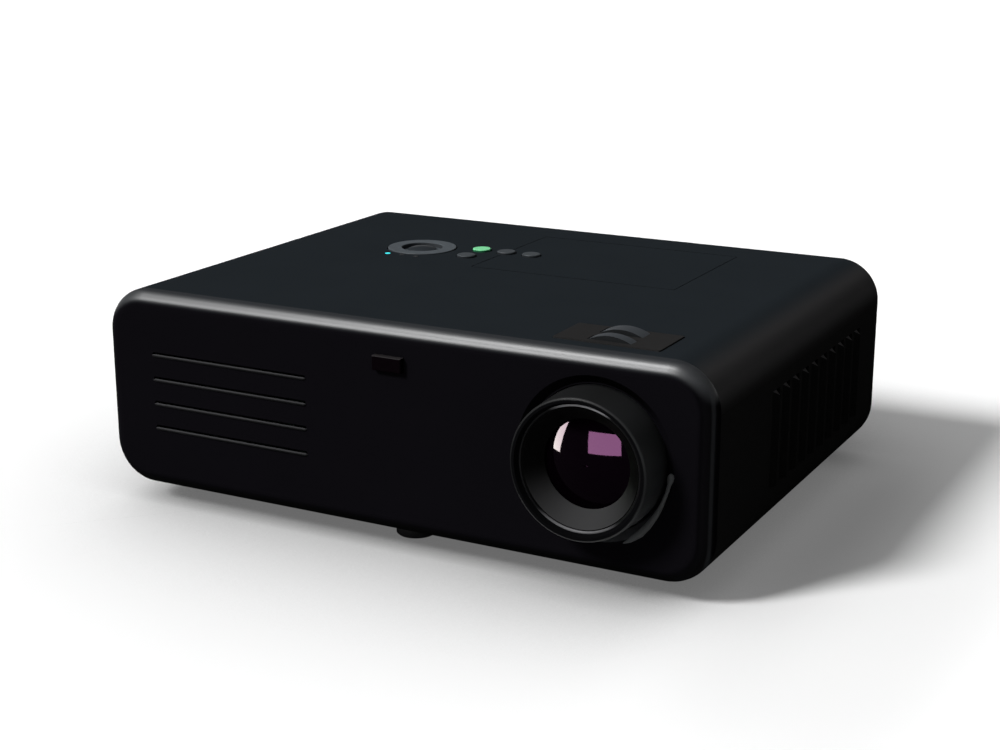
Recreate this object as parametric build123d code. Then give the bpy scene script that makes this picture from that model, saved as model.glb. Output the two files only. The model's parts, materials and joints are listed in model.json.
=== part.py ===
from build123d import *
from math import acos, asin, cos, degrees, pi, radians, sin, sqrt, tan
import os

# A desktop video projector, in millimetres. X is to the right seen from the front, Y to the back, Z up.
# The origin is on the table, under the middle of the whole machine, lens barrel included.

# Overall body
BODY_W = 260.0
BODY_D = 199.2
BODY_H = 80.5
CORNER_R = 17.6
FRONT_ROUND = 6.2
REAR_ROUND = 10.0
WALL = 2.5
FRONT_WALL = 2.8
PANEL_DEPTH = 7.0
SPLIT_H = 18.0
FOOT_H = 8.0
LENS_OUT = 14.0

# Clearances
SLIP = 0.3
FIT = 0.05
SEAT_GAP = 0.2

# Planes of the body
SIDE = BODY_W / 2
FRONT = -(BODY_D - LENS_OUT) / 2
REAR = FRONT + BODY_D
BASE = FOOT_H
TOP = BASE + BODY_H
MID_Z = BASE + BODY_H / 2
SEAM = FRONT + PANEL_DEPTH
SPLIT = BASE + SPLIT_H
FLOOR = BASE + WALL
CEILING = TOP - WALL
IN_SIDE = SIDE - WALL
IN_FRONT = FRONT + FRONT_WALL
IN_REAR = REAR - WALL
DECK_H = 8.0
DECK = FLOOR + DECK_H

# Lens place and barrel
LENS_FROM_SIDE = 44.0
LENS_H = 42.3
BARREL_R = 26.5
BARREL_TIP_R = 25.95
RIM_R = 24.2
RIM_ROUND = 0.95
MOUTH_R = 23.0
MOUTH_DEPTH = 2.3
BARREL_BACK = 24.0
PLATE_T = 2.5
DISH_R = 30.4
DISH_IN_R = 27.4
DISH_DEPTH = 2.3
DISH_RING = 2.5
LENS_X = SIDE - LENS_FROM_SIDE
LENS_Z = BASE + LENS_H
TIP = FRONT - LENS_OUT
MOUTH = TIP + MOUTH_DEPTH
PLATE_FRONT = TIP + BARREL_BACK
PLATE_BACK = PLATE_FRONT + PLATE_T

# Focus and zoom drive
TUBE_R = 11.7
TUBE_BORE_R = 10.3
MODULE = 0.8
PRESSURE = radians(20)
TOOTH_THINNING = 0.1
WHEEL_TEETH = 19
RING_TEETH = 38
WHEEL_CUT_TEETH = 9
RING_CUT_TEETH = 12
WHEEL_OFFSET = 2.0
WHEEL_PROUD = 2.3
WHEEL_SPREAD = 70.0
WHEEL_TURN = 38.0
WHEEL_WEB = 1.2
SHAFT_R = 1.5
FOCUS_WHEEL_BACK = 16.1
FOCUS_WHEEL_W = 5.0
ZOOM_WHEEL_BACK = 26.1
ZOOM_WHEEL_W = 7.0
GEAR_W = 2.6
CAM_PIN_R = 1.0
CAM_GAP = 0.3
FOCUS_STROKE = 0.9
ZOOM_STROKE = 2.0
CAM_WALL = 1.0
ZOOM_CELL_FRONT = 4.5
ZOOM_CELL_BACK = 1.5
ZOOM_GLASS_T = 2.4
ZOOM_GLASS_BULGE = 1.0
REAR_LENS_T = 1.6
REAR_LENS_BULGE = 0.6
GEAR_CENTRES = MODULE * (WHEEL_TEETH + RING_TEETH) / 2
RING_TURN = WHEEL_TURN * WHEEL_TEETH / RING_TEETH
RING_ROOT_R = MODULE * (RING_TEETH / 2 - 1.25)
HUB_R = 5.0
WHEEL_X = LENS_X - WHEEL_OFFSET
WHEEL_Z = LENS_Z + sqrt(GEAR_CENTRES ** 2 - WHEEL_OFFSET ** 2)
WHEEL_R = TOP + WHEEL_PROUD - WHEEL_Z
FOCUS_Y0 = FRONT + FOCUS_WHEEL_BACK
FOCUS_Y1 = FOCUS_Y0 + FOCUS_WHEEL_W
ZOOM_Y0 = FRONT + ZOOM_WHEEL_BACK
ZOOM_Y1 = ZOOM_Y0 + ZOOM_WHEEL_W
FOCUS_CAM_W = 2 * (FOCUS_STROKE + CAM_PIN_R + CAM_WALL)
ZOOM_CAM_W = 2 * (ZOOM_STROKE + CAM_PIN_R + CAM_WALL)
FOCUS_RING_Y1 = FOCUS_Y1
FOCUS_GEAR_Y0 = FOCUS_RING_Y1 - GEAR_W
FOCUS_RING_Y0 = FOCUS_GEAR_Y0 - FOCUS_CAM_W
ZOOM_RING_Y0 = ZOOM_Y0
ZOOM_GEAR_Y1 = ZOOM_RING_Y0 + GEAR_W
ZOOM_RING_Y1 = ZOOM_GEAR_Y1 + ZOOM_CAM_W
FOCUS_PIN_Y = FOCUS_GEAR_Y0 - FOCUS_CAM_W / 2
ZOOM_PIN_Y = ZOOM_GEAR_Y1 + ZOOM_CAM_W / 2
MOUNT_Y0 = ZOOM_RING_Y1 + SEAT_GAP
MOUNT_T = 3.0
MOUNT_Y1 = MOUNT_Y0 + MOUNT_T
MOUNT_W = 56.0
MOUNT_DROP = 26.0
MOUNT_RISE = 28.0
MOUNT_SCREW_IN = 6.5
MOUNT_SCREW_L = 8.0

# Front lens cell and glass
CELL_GAP = 0.4
CELL_R = MOUTH_R - CELL_GAP
RETAINER_T = 7.4
RETAINER_LIP_R = 22.0
CONE_R = 16.4
GLASS_R = 17.5
GLASS_T = 3.5
GLASS_BULGE = 3.0
CELL_BODY = 9.0
SLEEVE_R = 10.0
SLEEVE_T = 1.2
RETAINER_BACK = MOUTH + RETAINER_T
GLASS_BACK = RETAINER_BACK + GLASS_T
CELL_BACK = RETAINER_BACK + CELL_BODY
SLEEVE_BACK = FOCUS_PIN_Y + CAM_PIN_R + FOCUS_STROKE + 1.5

# Front panel details
GROOVE_LEFT = 107.0
GROOVE_L = 72.6
GROOVE_H = 1.6
GROOVE_PITCH = 10.05
GROOVES = 4
GROOVE_LOW = 25.6
EYE_X = 2.95
EYE_H = 66.3
EYE_W = 12.3
EYE_TALL = 5.6
EYE_PROUD = 2.4
EYE_GAP = 0.1
EYE_EDGE = 0.25
EYE_FLANGE = 1.5
EYE_FLANGE_T = 1.2
IR_BOARD_W = 26.0
IR_BOARD_H = 12.0
IR_CAN_W = 6.0
IR_CAN_H = 7.0
IR_CAN_T = 3.5
IR_DOME_R = 2.2
IR_DOME_OUT = 2.5
IR_DROP = 2.0
IR_POST_SPREAD = 11.0
IR_POST_R = 1.6
LIP_T = 1.8
LIP_L = 3.0
SPEAKER_R = 19.0
SPEAKER_SEAT = 2.0
SPEAKER_RIM = 2.0
MAGNET_R = 11.0
MAGNET_BACK = 13.0
SPEAKER_X = GROOVE_LEFT - GROOVE_L / 2
IR_SEAT = IN_FRONT + 6.0

# Side louvres
LOUVRES = 10
LOUVRE_PITCH = 10.97
LOUVRE_FIRST = 62.8
LOUVRE_CHORD = 3.5
LOUVRE_PROUD = 1.7
LOUVRE_LOW = 20.5
LOUVRE_HIGH = 57.5
LOUVRE_SLOPE = 1.9
LOUVRE_OPEN = 4.4

# Lamp door
DOOR_W = 91.2
DOOR_D = 69.9
DOOR_FROM_SIDE = 57.3
DOOR_FROM_REAR = 27.6
DOOR_GAP = 0.35
DOOR_R = 1.0
TAB_L = 8.0
TAB_T = 1.2
TAB_REACH = 1.0
TAB_FROM_FRONT = 3.4
TAB_FROM_BACK = 2.0
LEDGE_T = 2.0
LEDGE_EDGE = 2.0
LEDGE_FRONT = 6.9
LEDGE_REAR = 4.0
LEDGE_RIGHT = 4.7
LEDGE_LEFT = 20.5
DOOR_RIGHT = SIDE - DOOR_FROM_SIDE
DOOR_LEFT = DOOR_RIGHT - DOOR_W
DOOR_BACK = REAR - DOOR_FROM_REAR
DOOR_FRONT = DOOR_BACK - DOOR_D
BAY_LEFT = DOOR_LEFT + LEDGE_LEFT
BAY_RIGHT = DOOR_RIGHT - LEDGE_RIGHT
BAY_FRONT = DOOR_FRONT + LEDGE_FRONT
BAY_BACK = DOOR_BACK - LEDGE_REAR

# Lens adjustment plate
ADJUST_W = 41.5
ADJUST_D = 22.3
ADJUST_T = 1.2
ADJUST_PROUD = 0.45
ADJUST_FROM_SIDE = 25.4
ADJUST_FROM_FRONT = 13.0

# Keypad
KEY_R = 4.0
KEY_PROUD = 0.95
KEY_PITCH = 12.05
KEY_OVER_DOOR = 0.4
KEY_FROM_DOOR_FRONT = 30.4
MENU_BACK = 14.1
KEY_TRAVEL = 0.8
KEY_FLANGE_R = 5.0
KEY_FLANGE_T = 1.0
KEY_GAP = 0.35
KEY_GUIDE_WALL = 3.0
KEY_EDGE = 0.3
PLUNGER_R = 2.0
NAV_FROM_POWER = 26.05
NAV_BEFORE_POWER = 7.05
NAV_R = 15.0
NAV_HOLE_R = 9.0
NAV_PROUD = 0.4
NAV_STEP = 1.4
NAV_FLANGE_R = 16.0
NAV_FLANGE_T = 1.0
NAV_LIFT = 1.0
NAV_GAP = 0.45
NAV_ROUND = 0.3
ENTER_R = 6.2
ENTER_GAP = 0.5
ENTER_PROUD = 0.7
ENTER_RIM_DROP = 0.4
ENTER_FLANGE_R = 7.8
ENTER_FLANGE_T = 0.8
COLLAR_T = 1.4
COLLAR_IN = 2.0
COLLAR_TAPER = 0.6
LIGHT_R = 1.1
LIGHT_BEFORE_NAV = 17.55
LIGHT_PITCH = 7.0
LIGHTS = 3
LIGHT_PROUD = 0.15
KEYPAD_DROP = 6.4
KEYPAD_T = 1.6
SWITCH_H = 1.5
SWITCH_W = 4.4
SWITCH_BODY_H = 0.9
SWITCH_CAP_R = 1.2
SWITCH_RING_R = 11.0
KEYPAD_POST_R = 2.5
KEYPAD_NAV_EDGE = 7.0
KEYPAD_FRONT_EDGE = 19.0
KEYPAD_BACK_EDGE = 12.0
KEYPAD_ARM_W = 13.0
KEYPAD_ARM_END = 5.0
NAV_POST_OUT = 3.5
NAV_POST_SPREAD = 14.0
KEY_POST_OUT = 8.0
KEY_POST_SPREAD = 9.0
KEY_Y = DOOR_FRONT + KEY_FROM_DOOR_FRONT
SOURCE_X = DOOR_LEFT + KEY_OVER_DOOR
POWER_X = SOURCE_X - KEY_PITCH
NAV_CX = POWER_X - NAV_FROM_POWER
NAV_CY = KEY_Y - NAV_BEFORE_POWER
KEYPAD_TOP = CEILING - KEYPAD_DROP
SWITCH_TOP = KEYPAD_TOP + SWITCH_H
PLUNGER_LOW = SWITCH_TOP + KEY_TRAVEL + SEAT_GAP
NAV_LOW = CEILING - NAV_LIFT - NAV_FLANGE_T

# Feet and fasteners
FOOT_R = 7.85
FOOT_PAD_H = 5.0
FOOT_BACK = 23.0
FOOT_STEM_R = 4.0
FOOT_STEM_H = 25.0
REAR_FOOT_X = 106.0
REAR_FOOT_BACK = 27.6
REAR_PAD_H = 3.0
PEG_R = 2.5
PEG_H = 3.0
POST_R = 3.6
POST_IN = 12.0
POST_FRONT = 22.6
POST_REAR = 14.6
STANDOFF_R = 3.0
BOSS_WALL = 3.0
INSERT_WALL = 2.0
INSERT_ROOF = 1.5
SCREW_R = 1.5
HEAD_R = 2.8
HEAD_H = 2.2
HEAD_DEEP = 3.0
CASE_SCREW_L = 22.0
INSERT_R = 3.0
INSERT_BORE_R = 1.65
INSERT_L = 6.0
INSERT_SPAN_X = 140.0
INSERT_SPAN_Y = 90.0
INSERT_Y = 5.0
FOOT_Y = FRONT + FOOT_BACK
REAR_FOOT_Y = REAR - REAR_FOOT_BACK
SCREW_SEAT = BASE + HEAD_DEEP + HEAD_H

# Light engine
ENGINE_RIGHT = 18.0
ENGINE_H = 53.5
ENGINE_WALL = 2.5
ENGINE_MAIN_W = 50.0
ENGINE_MAIN_D = 44.2
ARM_W = 30.0
COLOUR_WHEEL_ROOM = 12.3
CROSS_D = 30.2
COVER_T = 2.5
LAMP_FROM_SIDE = 95.0
LAMP_BEHIND_BAY = 2.0
TUNNEL_W = 9.0
TUNNEL_H = 7.0
TUNNEL_WALL = 1.0
CHIP_W = 18.0
CHIP_H = 13.0
CHIP_T = 4.0
WINDOW_GAP = 1.0
SCREW_BOSS = 2.5
SCREW_BOSS_L = 6.5
COVER_RIBS = 5
COVER_RIB_PITCH = 9.0
COVER_RIB_T = 1.2
COVER_RIB_H = 2.5
COVER_RIB_IN = 6.0
BOARD_T = 1.6
SINK_FINS = 7
SINK_PITCH = 3.8
SINK_FIN_T = 1.2
SINK_H = 23.0
SINK_DEPTH = 14.0
ENGINE_Y0 = MOUNT_Y1
ENGINE_X1 = SIDE - ENGINE_RIGHT
ENGINE_X0 = ENGINE_X1 - ENGINE_MAIN_W
ENGINE_Y1 = ENGINE_Y0 + ENGINE_MAIN_D
LAMP_X = SIDE - LAMP_FROM_SIDE
ARM_X0 = LAMP_X - ARM_W / 2
ARM_X1 = LAMP_X + ARM_W / 2
LAMP_Y0 = BAY_FRONT + LAMP_BEHIND_BAY
ARM_Y1 = LAMP_Y0 - COLOUR_WHEEL_ROOM
CROSS_Y1 = ENGINE_Y0 + CROSS_D
ENGINE_TOP = DECK + ENGINE_H
MIRROR_Y = ENGINE_Y0 + 15.2

# Colour wheel
WHEEL_DISC_R = 20.0
WHEEL_DISC_T = 1.0
WHEEL_ORBIT = 14.5
WHEEL_RUN = 2.0
MOTOR_R = 9.0
MOTOR_L = 5.0
SPINDLE_R = 1.0
DISC_X = LAMP_X - WHEEL_ORBIT
DISC_Y0 = ARM_Y1 + WHEEL_RUN
DISC_Y1 = DISC_Y0 + WHEEL_DISC_T
MOTOR_Y0 = DISC_Y1 + 1.2

# Lamp module
LAMP_W = 62.0
LAMP_D = 56.0
LAMP_H = 58.0
LAMP_WALL = 2.0
LAMP_SLOTS = 5
LAMP_SLOT_W = 4.0
LAMP_SLOT_PITCH = 8.0
LAMP_SLOT_FIRST = 12.0
LAMP_SLOT_H = 28.0
NECK_RING = 6.0
NECK_L = 8.0
LAMP_SCREW_IN = 7.0
LAMP_SCREW_L = 8.0
REFLECTOR_R = 22.0
REFLECTOR_L = 30.0
REFLECTOR_T = 2.5
NECK_R = 6.0
BULB_R = 4.2
ARC_TUBE_R = 2.2
LAMP_Y1 = LAMP_Y0 + LAMP_D
LAMP_TOP = DECK + LAMP_H

# Fans
FAN_SIZE = 60.0
FAN_T = 15.0
FAN_R = 28.5
FAN_HUB_R = 13.0
FAN_HOLE_SPREAD = 25.0
FAN_HOLE_R = 2.2
FAN_SPOKE_T = 2.0
FAN_SPOKE_W = 3.0
FAN_SPOKES = 3
FAN_BLADES = 7
FAN_Y = 20.0
FAN_OFF_WALL = 2.2
FAN_SPINDLE_R = 1.5
BLADE_GAP = 0.8
BLOWER_W = 50.0
BLOWER_D = 50.0
BLOWER_H = 20.0
BLOWER_RIGHT = 10.0
BLOWER_R = 18.0
BLOWER_BLADES = 18
BLOWER_WALL = 1.6
BLOWER_MOUTH = 20.0
BLOWER_SHIFT = 2.0
BLOWER_EYE = 3.0
IMPELLER_DISC_T = 1.2
IMPELLER_HUB_R = 8.0
IMPELLER_BLADE_IN = 2.8
IMPELLER_BLADE_L = 5.0
IMPELLER_BLADE_T = 0.9
BLOWER_Y0 = BAY_FRONT + 4.0

# Boards and sockets
IO_W = 152.0
IO_H = 40.0
IO_RIGHT = 18.0
IO_LOW = 20.0
IO_T = 1.5
IO_BOARD_BACK = 16.2
IO_BOARD_RISE = 2.0
IO_BOARD_IN = 4.0
IO_SEAT_IN = 12.0
IO_MARGIN = 1.6
SOCKET_FLUSH = 1.0
SOCKET_Z = IO_H / 2
VGA_IN_X = 24.0
VGA_OUT_X = 62.0
S_VIDEO_X = 90.0
COMPOSITE_X = 106.0
AUDIO_X = 121.0
USB_X = 137.0
VGA_W = 31.0
VGA_H = 12.4
S_VIDEO_R = 6.0
COMPOSITE_R = 4.6
AUDIO_R = 3.6
USB_W = 12.0
USB_H = 11.0
INLET_W = 27.0
INLET_H = 19.5
INLET_LEFT = 26.0
INLET_LOW = 24.0
INLET_DEPTH = 20.0
INLET_WALL = 1.4
INLET_FLANGE = 2.5
INLET_FLANGE_T = 2.0
INLET_SUNK = 0.5
INLET_BEVEL = 5.0
INLET_FLOOR = 3.0
PIN_W = 2.0
PIN_H = 4.0
PIN_SPREAD = 7.0
PIN_SUNK = 4.5
IO_X1 = SIDE - IO_RIGHT
IO_X0 = IO_X1 - IO_W
IO_Z0 = BASE + IO_LOW
IO_Z1 = IO_Z0 + IO_H
IO_BOARD_Y = REAR - IO_BOARD_BACK
SOCKET_FACE = REAR - SOCKET_FLUSH
BOARD_GAP = 4.0
PSU_D = 74.0
PSU_REAR = 20.6
MAIN_FRONT = 30.6
MAIN_RIGHT = 34.0
MAIN_BEHIND = 16.0
BALLAST_W = 34.0
SEAT_IN = 4.0
CHIP_SIZE = 14.0
SINK_BASE = 2.5
MAIN_SINK_W = 24.0
MAIN_SINK_D = 26.0
MAIN_SINK_H = 12.0
HEADER_H = 6.0
SMALL_CAP_R = 3.2
SMALL_CAP_H = 8.0
BIG_CAP_R = 7.5
BIG_CAP_H = 24.0
MID_CAP_R = 5.0
MID_CAP_H = 16.0
COIL_W = 22.0
COIL_H = 18.0
PLATE_SINK_T = 2.5
PLATE_SINK_H = 26.0
PLATE_SINK_L = 27.0


def block(x0, x1, y0, y1, z0, z1):
    """A box between two opposite corners."""
    return Pos((x0 + x1) / 2, (y0 + y1) / 2, (z0 + z1) / 2) * Box(x1 - x0, y1 - y0, z1 - z0)


def across(sketch, y0, y1):
    """A front-view sketch (x, z) given depth from y0 back to y1."""
    plane = Plane((0, y1, 0), x_dir=(1, 0, 0), z_dir=(0, -1, 0))
    return extrude(plane * sketch, y1 - y0, dir=(0, -1, 0))


def upward(sketch, z0, z1):
    """A plan-view sketch (x, y) given height."""
    return extrude(Plane.XY.offset(z0) * sketch, z1 - z0, dir=(0, 0, 1))


def sideways(sketch, x0, x1):
    """A side-view sketch (y, z) given width."""
    plane = Plane((x0, 0, 0), x_dir=(0, 1, 0), z_dir=(1, 0, 0))
    return extrude(plane * sketch, x1 - x0, dir=(1, 0, 0))


def rod_x(y, z, r, x0, x1):
    return sideways(Pos(y, z) * Circle(r), x0, x1)


def rod_y(x, z, r, y0, y1):
    return across(Pos(x, z) * Circle(r), y0, y1)


def rod_z(x, y, r, z0, z1):
    return upward(Pos(x, y) * Circle(r), z0, z1)


def turned_y(x, z, corners):
    """A part turned about a line along Y, from its (radius, y) corners."""
    return Pos(x, 0, z) * revolve(Polygon(*corners, align=None), Axis.Y)


def turned_z(x, y, corners):
    """A part turned about a line along Z, from its (radius, z) corners."""
    return Pos(x, y, 0) * revolve(Plane.XZ * Polygon(*corners, align=None), Axis.Z)


def bulging_lens(radius, y0, y1, bulge_front, bulge_back=0.0):
    """A round lens about the Y axis: edge planes at y0 and y1, faces bulging past them."""

    def dome(edge_y, bulge):
        if not bulge:
            return Line((radius, edge_y), (0, edge_y))
        ball = (radius ** 2 + bulge ** 2) / (2 * abs(bulge))
        half_way = sqrt(ball ** 2 - (radius / 2) ** 2) - (ball - abs(bulge))
        side = 1 if bulge > 0 else -1
        return ThreePointArc((radius, edge_y), (radius / 2, edge_y + side * half_way), (0, edge_y + bulge))

    outline = [
        dome(y0, -bulge_front),
        dome(y1, bulge_back),
        Line((radius, y0), (radius, y1)),
        Line((0, y0 - bulge_front), (0, y1 + bulge_back)),
    ]
    return revolve(make_face(outline), Axis.Y)


def front_outline(inset):
    """The body's outline seen from the front, drawn in by inset."""
    sketch = RectangleRounded(BODY_W - 2 * inset, BODY_H - 2 * inset, CORNER_R - inset)
    return Pos(0, MID_Z) * sketch


def housing():
    """The whole hollow shell, before it is divided into its three mouldings."""
    outside = across(front_outline(0), FRONT, REAR)
    outside = fillet(outside.faces().sort_by(Axis.Y)[0].edges(), FRONT_ROUND)
    outside = fillet(outside.faces().sort_by(Axis.Y)[-1].edges(), REAR_ROUND)
    inside = across(front_outline(WALL), IN_FRONT, IN_REAR)
    inside = fillet(inside.faces().sort_by(Axis.Y)[0].edges(), FRONT_ROUND - WALL)
    inside = fillet(inside.faces().sort_by(Axis.Y)[-1].edges(), REAR_ROUND - WALL)
    return outside - inside


SHELL = housing()
POSTS = [(side * (SIDE - POST_IN), y) for side in (-1, 1) for y in (FRONT + POST_FRONT, REAR - POST_REAR)]
INSERTS = [
    (x * INSERT_SPAN_X / 2, INSERT_Y + y * INSERT_SPAN_Y / 2) for x in (-1, 1) for y in (-1, 1)
]


def groove_centres():
    """Centres of the front slots, (x, z)."""
    x = -GROOVE_LEFT + GROOVE_L / 2
    return [(x, BASE + GROOVE_LOW + i * GROOVE_PITCH) for i in range(GROOVES)]


def front_panel():
    """Front moulding: slots, sensor window, dished lens opening and a lip that enters the case."""
    panel = SHELL & block(-SIDE, SIDE, FRONT, SEAM, BASE, TOP)
    lip_root = front_outline(WALL - SLIP) - front_outline(WALL + LIP_T)
    lip = front_outline(WALL + SEAT_GAP) - front_outline(WALL + LIP_T)
    panel += across(lip_root, SEAM - LIP_L, SEAM) + across(lip, SEAM, SEAM + LIP_L)
    panel += rod_y(LENS_X, LENS_Z, DISH_R + DISH_RING, FRONT + WALL, IN_FRONT + DISH_DEPTH)
    dish = [(0, FRONT), (DISH_R, FRONT), (DISH_IN_R, FRONT + DISH_DEPTH), (0, FRONT + DISH_DEPTH)]
    panel -= turned_y(LENS_X, LENS_Z, dish)
    panel -= rod_y(LENS_X, LENS_Z, BARREL_R + CELL_GAP, FRONT, SEAM)
    for x, z in groove_centres():
        panel -= across(Pos(x, z) * SlotOverall(GROOVE_L, GROOVE_H), FRONT, IN_FRONT)
    eye = Rectangle(EYE_W + 2 * EYE_GAP, EYE_TALL + 2 * EYE_GAP)
    panel -= across(Pos(EYE_X, BASE + EYE_H) * eye, FRONT, IN_FRONT)
    seat = Circle(SPEAKER_R) - Circle(SPEAKER_R - SPEAKER_RIM)
    panel += across(Pos(-SPEAKER_X, LENS_Z) * seat, IN_FRONT, IN_FRONT + SPEAKER_SEAT)
    for x in (EYE_X - IR_POST_SPREAD, EYE_X + IR_POST_SPREAD):
        panel += rod_y(x, BASE + EYE_H - IR_DROP, IR_POST_R, IN_FRONT, IR_SEAT)
    return panel


def standoffs(places, top):
    """Round pillars from the case floor up to a seat."""
    return [rod_z(x, y, STANDOFF_R, FLOOR - WALL / 2, top) for x, y in places]


def corners_of(x0, x1, y0, y1, inset):
    return [(x, y) for x in (x0 + inset, x1 - inset) for y in (y0 + inset, y1 - inset)]


def bottom_case():
    """Lower tray: screw posts, foot sockets, bosses for the ceiling mount and seats for what stands on it."""
    tray = SHELL & block(-SIDE, SIDE, SEAM, REAR, BASE, SPLIT)
    core = upward(Rectangle(BODY_W, 4 * BODY_D), BASE, SPLIT) & across(front_outline(0), SEAM, REAR)
    for x, y in POSTS:
        tray += rod_z(x, y, POST_R, BASE, SPLIT) & core
        tray -= rod_z(x, y, SCREW_R + FIT, BASE, SPLIT)
        tray -= rod_z(x, y, HEAD_R + SEAT_GAP, BASE, SCREW_SEAT)
    tray += rod_z(0, FOOT_Y, FOOT_STEM_R + BOSS_WALL, FLOOR, SPLIT)
    tray -= rod_z(0, FOOT_Y, FOOT_STEM_R + FIT, BASE, SPLIT)
    for x in (-REAR_FOOT_X, REAR_FOOT_X):
        tray += rod_z(x, REAR_FOOT_Y, FOOT_R, REAR_PAD_H, FLOOR)
        tray -= rod_z(x, REAR_FOOT_Y, PEG_R + FIT, REAR_PAD_H, REAR_PAD_H + PEG_H + SLIP)
    for x, y in INSERTS:
        tray += rod_z(x, y, INSERT_R + INSERT_WALL, FLOOR, BASE + INSERT_L + INSERT_ROOF)
        tray -= rod_z(x, y, INSERT_R + FIT, BASE, BASE + INSERT_L + SLIP)
    for pillar in standoffs(ENGINE_SEATS + BOARD_SEATS, DECK):
        tray += pillar
    for pillar in standoffs(IO_SEATS, IO_Z0 + IO_BOARD_RISE):
        tray += pillar
    return tray


def louvre_hoods(side):
    """Wedge-shaped hoods on one side wall: flush at the front, proud at the back, sloping off at the top."""
    hoods = []
    for i in range(LOUVRES):
        y = FRONT + LOUVRE_FIRST + i * LOUVRE_PITCH
        root = side * (SIDE - WALL / 2)
        plan = Polygon(
            (root, y - LOUVRE_CHORD), (side * SIDE, y - LOUVRE_CHORD),
            (side * (SIDE + LOUVRE_PROUD), y), (root, y), align=None,
        )
        hood = upward(plan, BASE + LOUVRE_LOW, BASE + LOUVRE_HIGH)
        top = BASE + LOUVRE_HIGH
        slope = Polygon(
            (side * SIDE, top), (side * (SIDE + 2 * LOUVRE_PROUD), top),
            (side * (SIDE + 2 * LOUVRE_PROUD), top - 2 * LOUVRE_SLOPE), align=None,
        )
        hoods.append(hood - across(slope, y - 2 * LOUVRE_CHORD, y + LOUVRE_CHORD))
    return hoods


def louvre_slots(side):
    """The air slots behind the hoods, right through one side wall."""
    tall = LOUVRE_HIGH - LOUVRE_LOW
    slots = []
    for i in range(LOUVRES):
        y = FRONT + LOUVRE_FIRST + i * LOUVRE_PITCH + LOUVRE_OPEN / 2
        slot = Pos(y, BASE + LOUVRE_LOW + tall / 2) * Rectangle(LOUVRE_OPEN, tall)
        slots.append(sideways(slot, *sorted((side * (SIDE - 2 * WALL), side * SIDE))))
    return slots


def key_places():
    """Centres of the four round keys, (x, y)."""
    return {
        "menu_key": (POWER_X, KEY_Y - MENU_BACK),
        "power_key": (POWER_X, KEY_Y),
        "source_key": (SOURCE_X, KEY_Y),
        "auto_key": (SOURCE_X + KEY_PITCH, KEY_Y),
    }


def light_places():
    """Centres of the three status lights, (x, y)."""
    y = NAV_CY - LIGHT_BEFORE_NAV
    return [(NAV_CX + (i - (LIGHTS - 1) / 2) * LIGHT_PITCH, y) for i in range(LIGHTS)]


def door_outline(inset):
    sketch = RectangleRounded(DOOR_W - 2 * inset, DOOR_D - 2 * inset, DOOR_R)
    return Pos((DOOR_LEFT + DOOR_RIGHT) / 2, (DOOR_FRONT + DOOR_BACK) / 2) * sketch


def adjust_outline(inset):
    x = SIDE - ADJUST_FROM_SIDE - ADJUST_W / 2
    y = FRONT + ADJUST_FROM_FRONT + ADJUST_D / 2
    return Pos(x, y) * RectangleRounded(ADJUST_W - 2 * inset, ADJUST_D - 2 * inset, 0.8)


def wheel_slots():
    """Room for the two thumb wheels, round like their rims."""
    focus = rod_y(WHEEL_X, WHEEL_Z, WHEEL_R + SLIP, FOCUS_Y0 - SLIP, FOCUS_Y1 + SLIP)
    zoom = rod_y(WHEEL_X, WHEEL_Z, WHEEL_R + SLIP, ZOOM_Y0 - SLIP, ZOOM_Y1 + SLIP)
    return [focus, zoom]


def tab_places():
    """Where the lamp door's locating tabs go down through the ledge, (x, y) with their long side along X."""
    x_mid = (BAY_LEFT + BAY_RIGHT) / 2
    span = (BAY_RIGHT - BAY_LEFT) / 3
    rows = (DOOR_FRONT + TAB_FROM_FRONT, DOOR_BACK - TAB_FROM_BACK)
    return [(x_mid + s * span, y) for s in (-1, 1) for y in rows]


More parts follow.
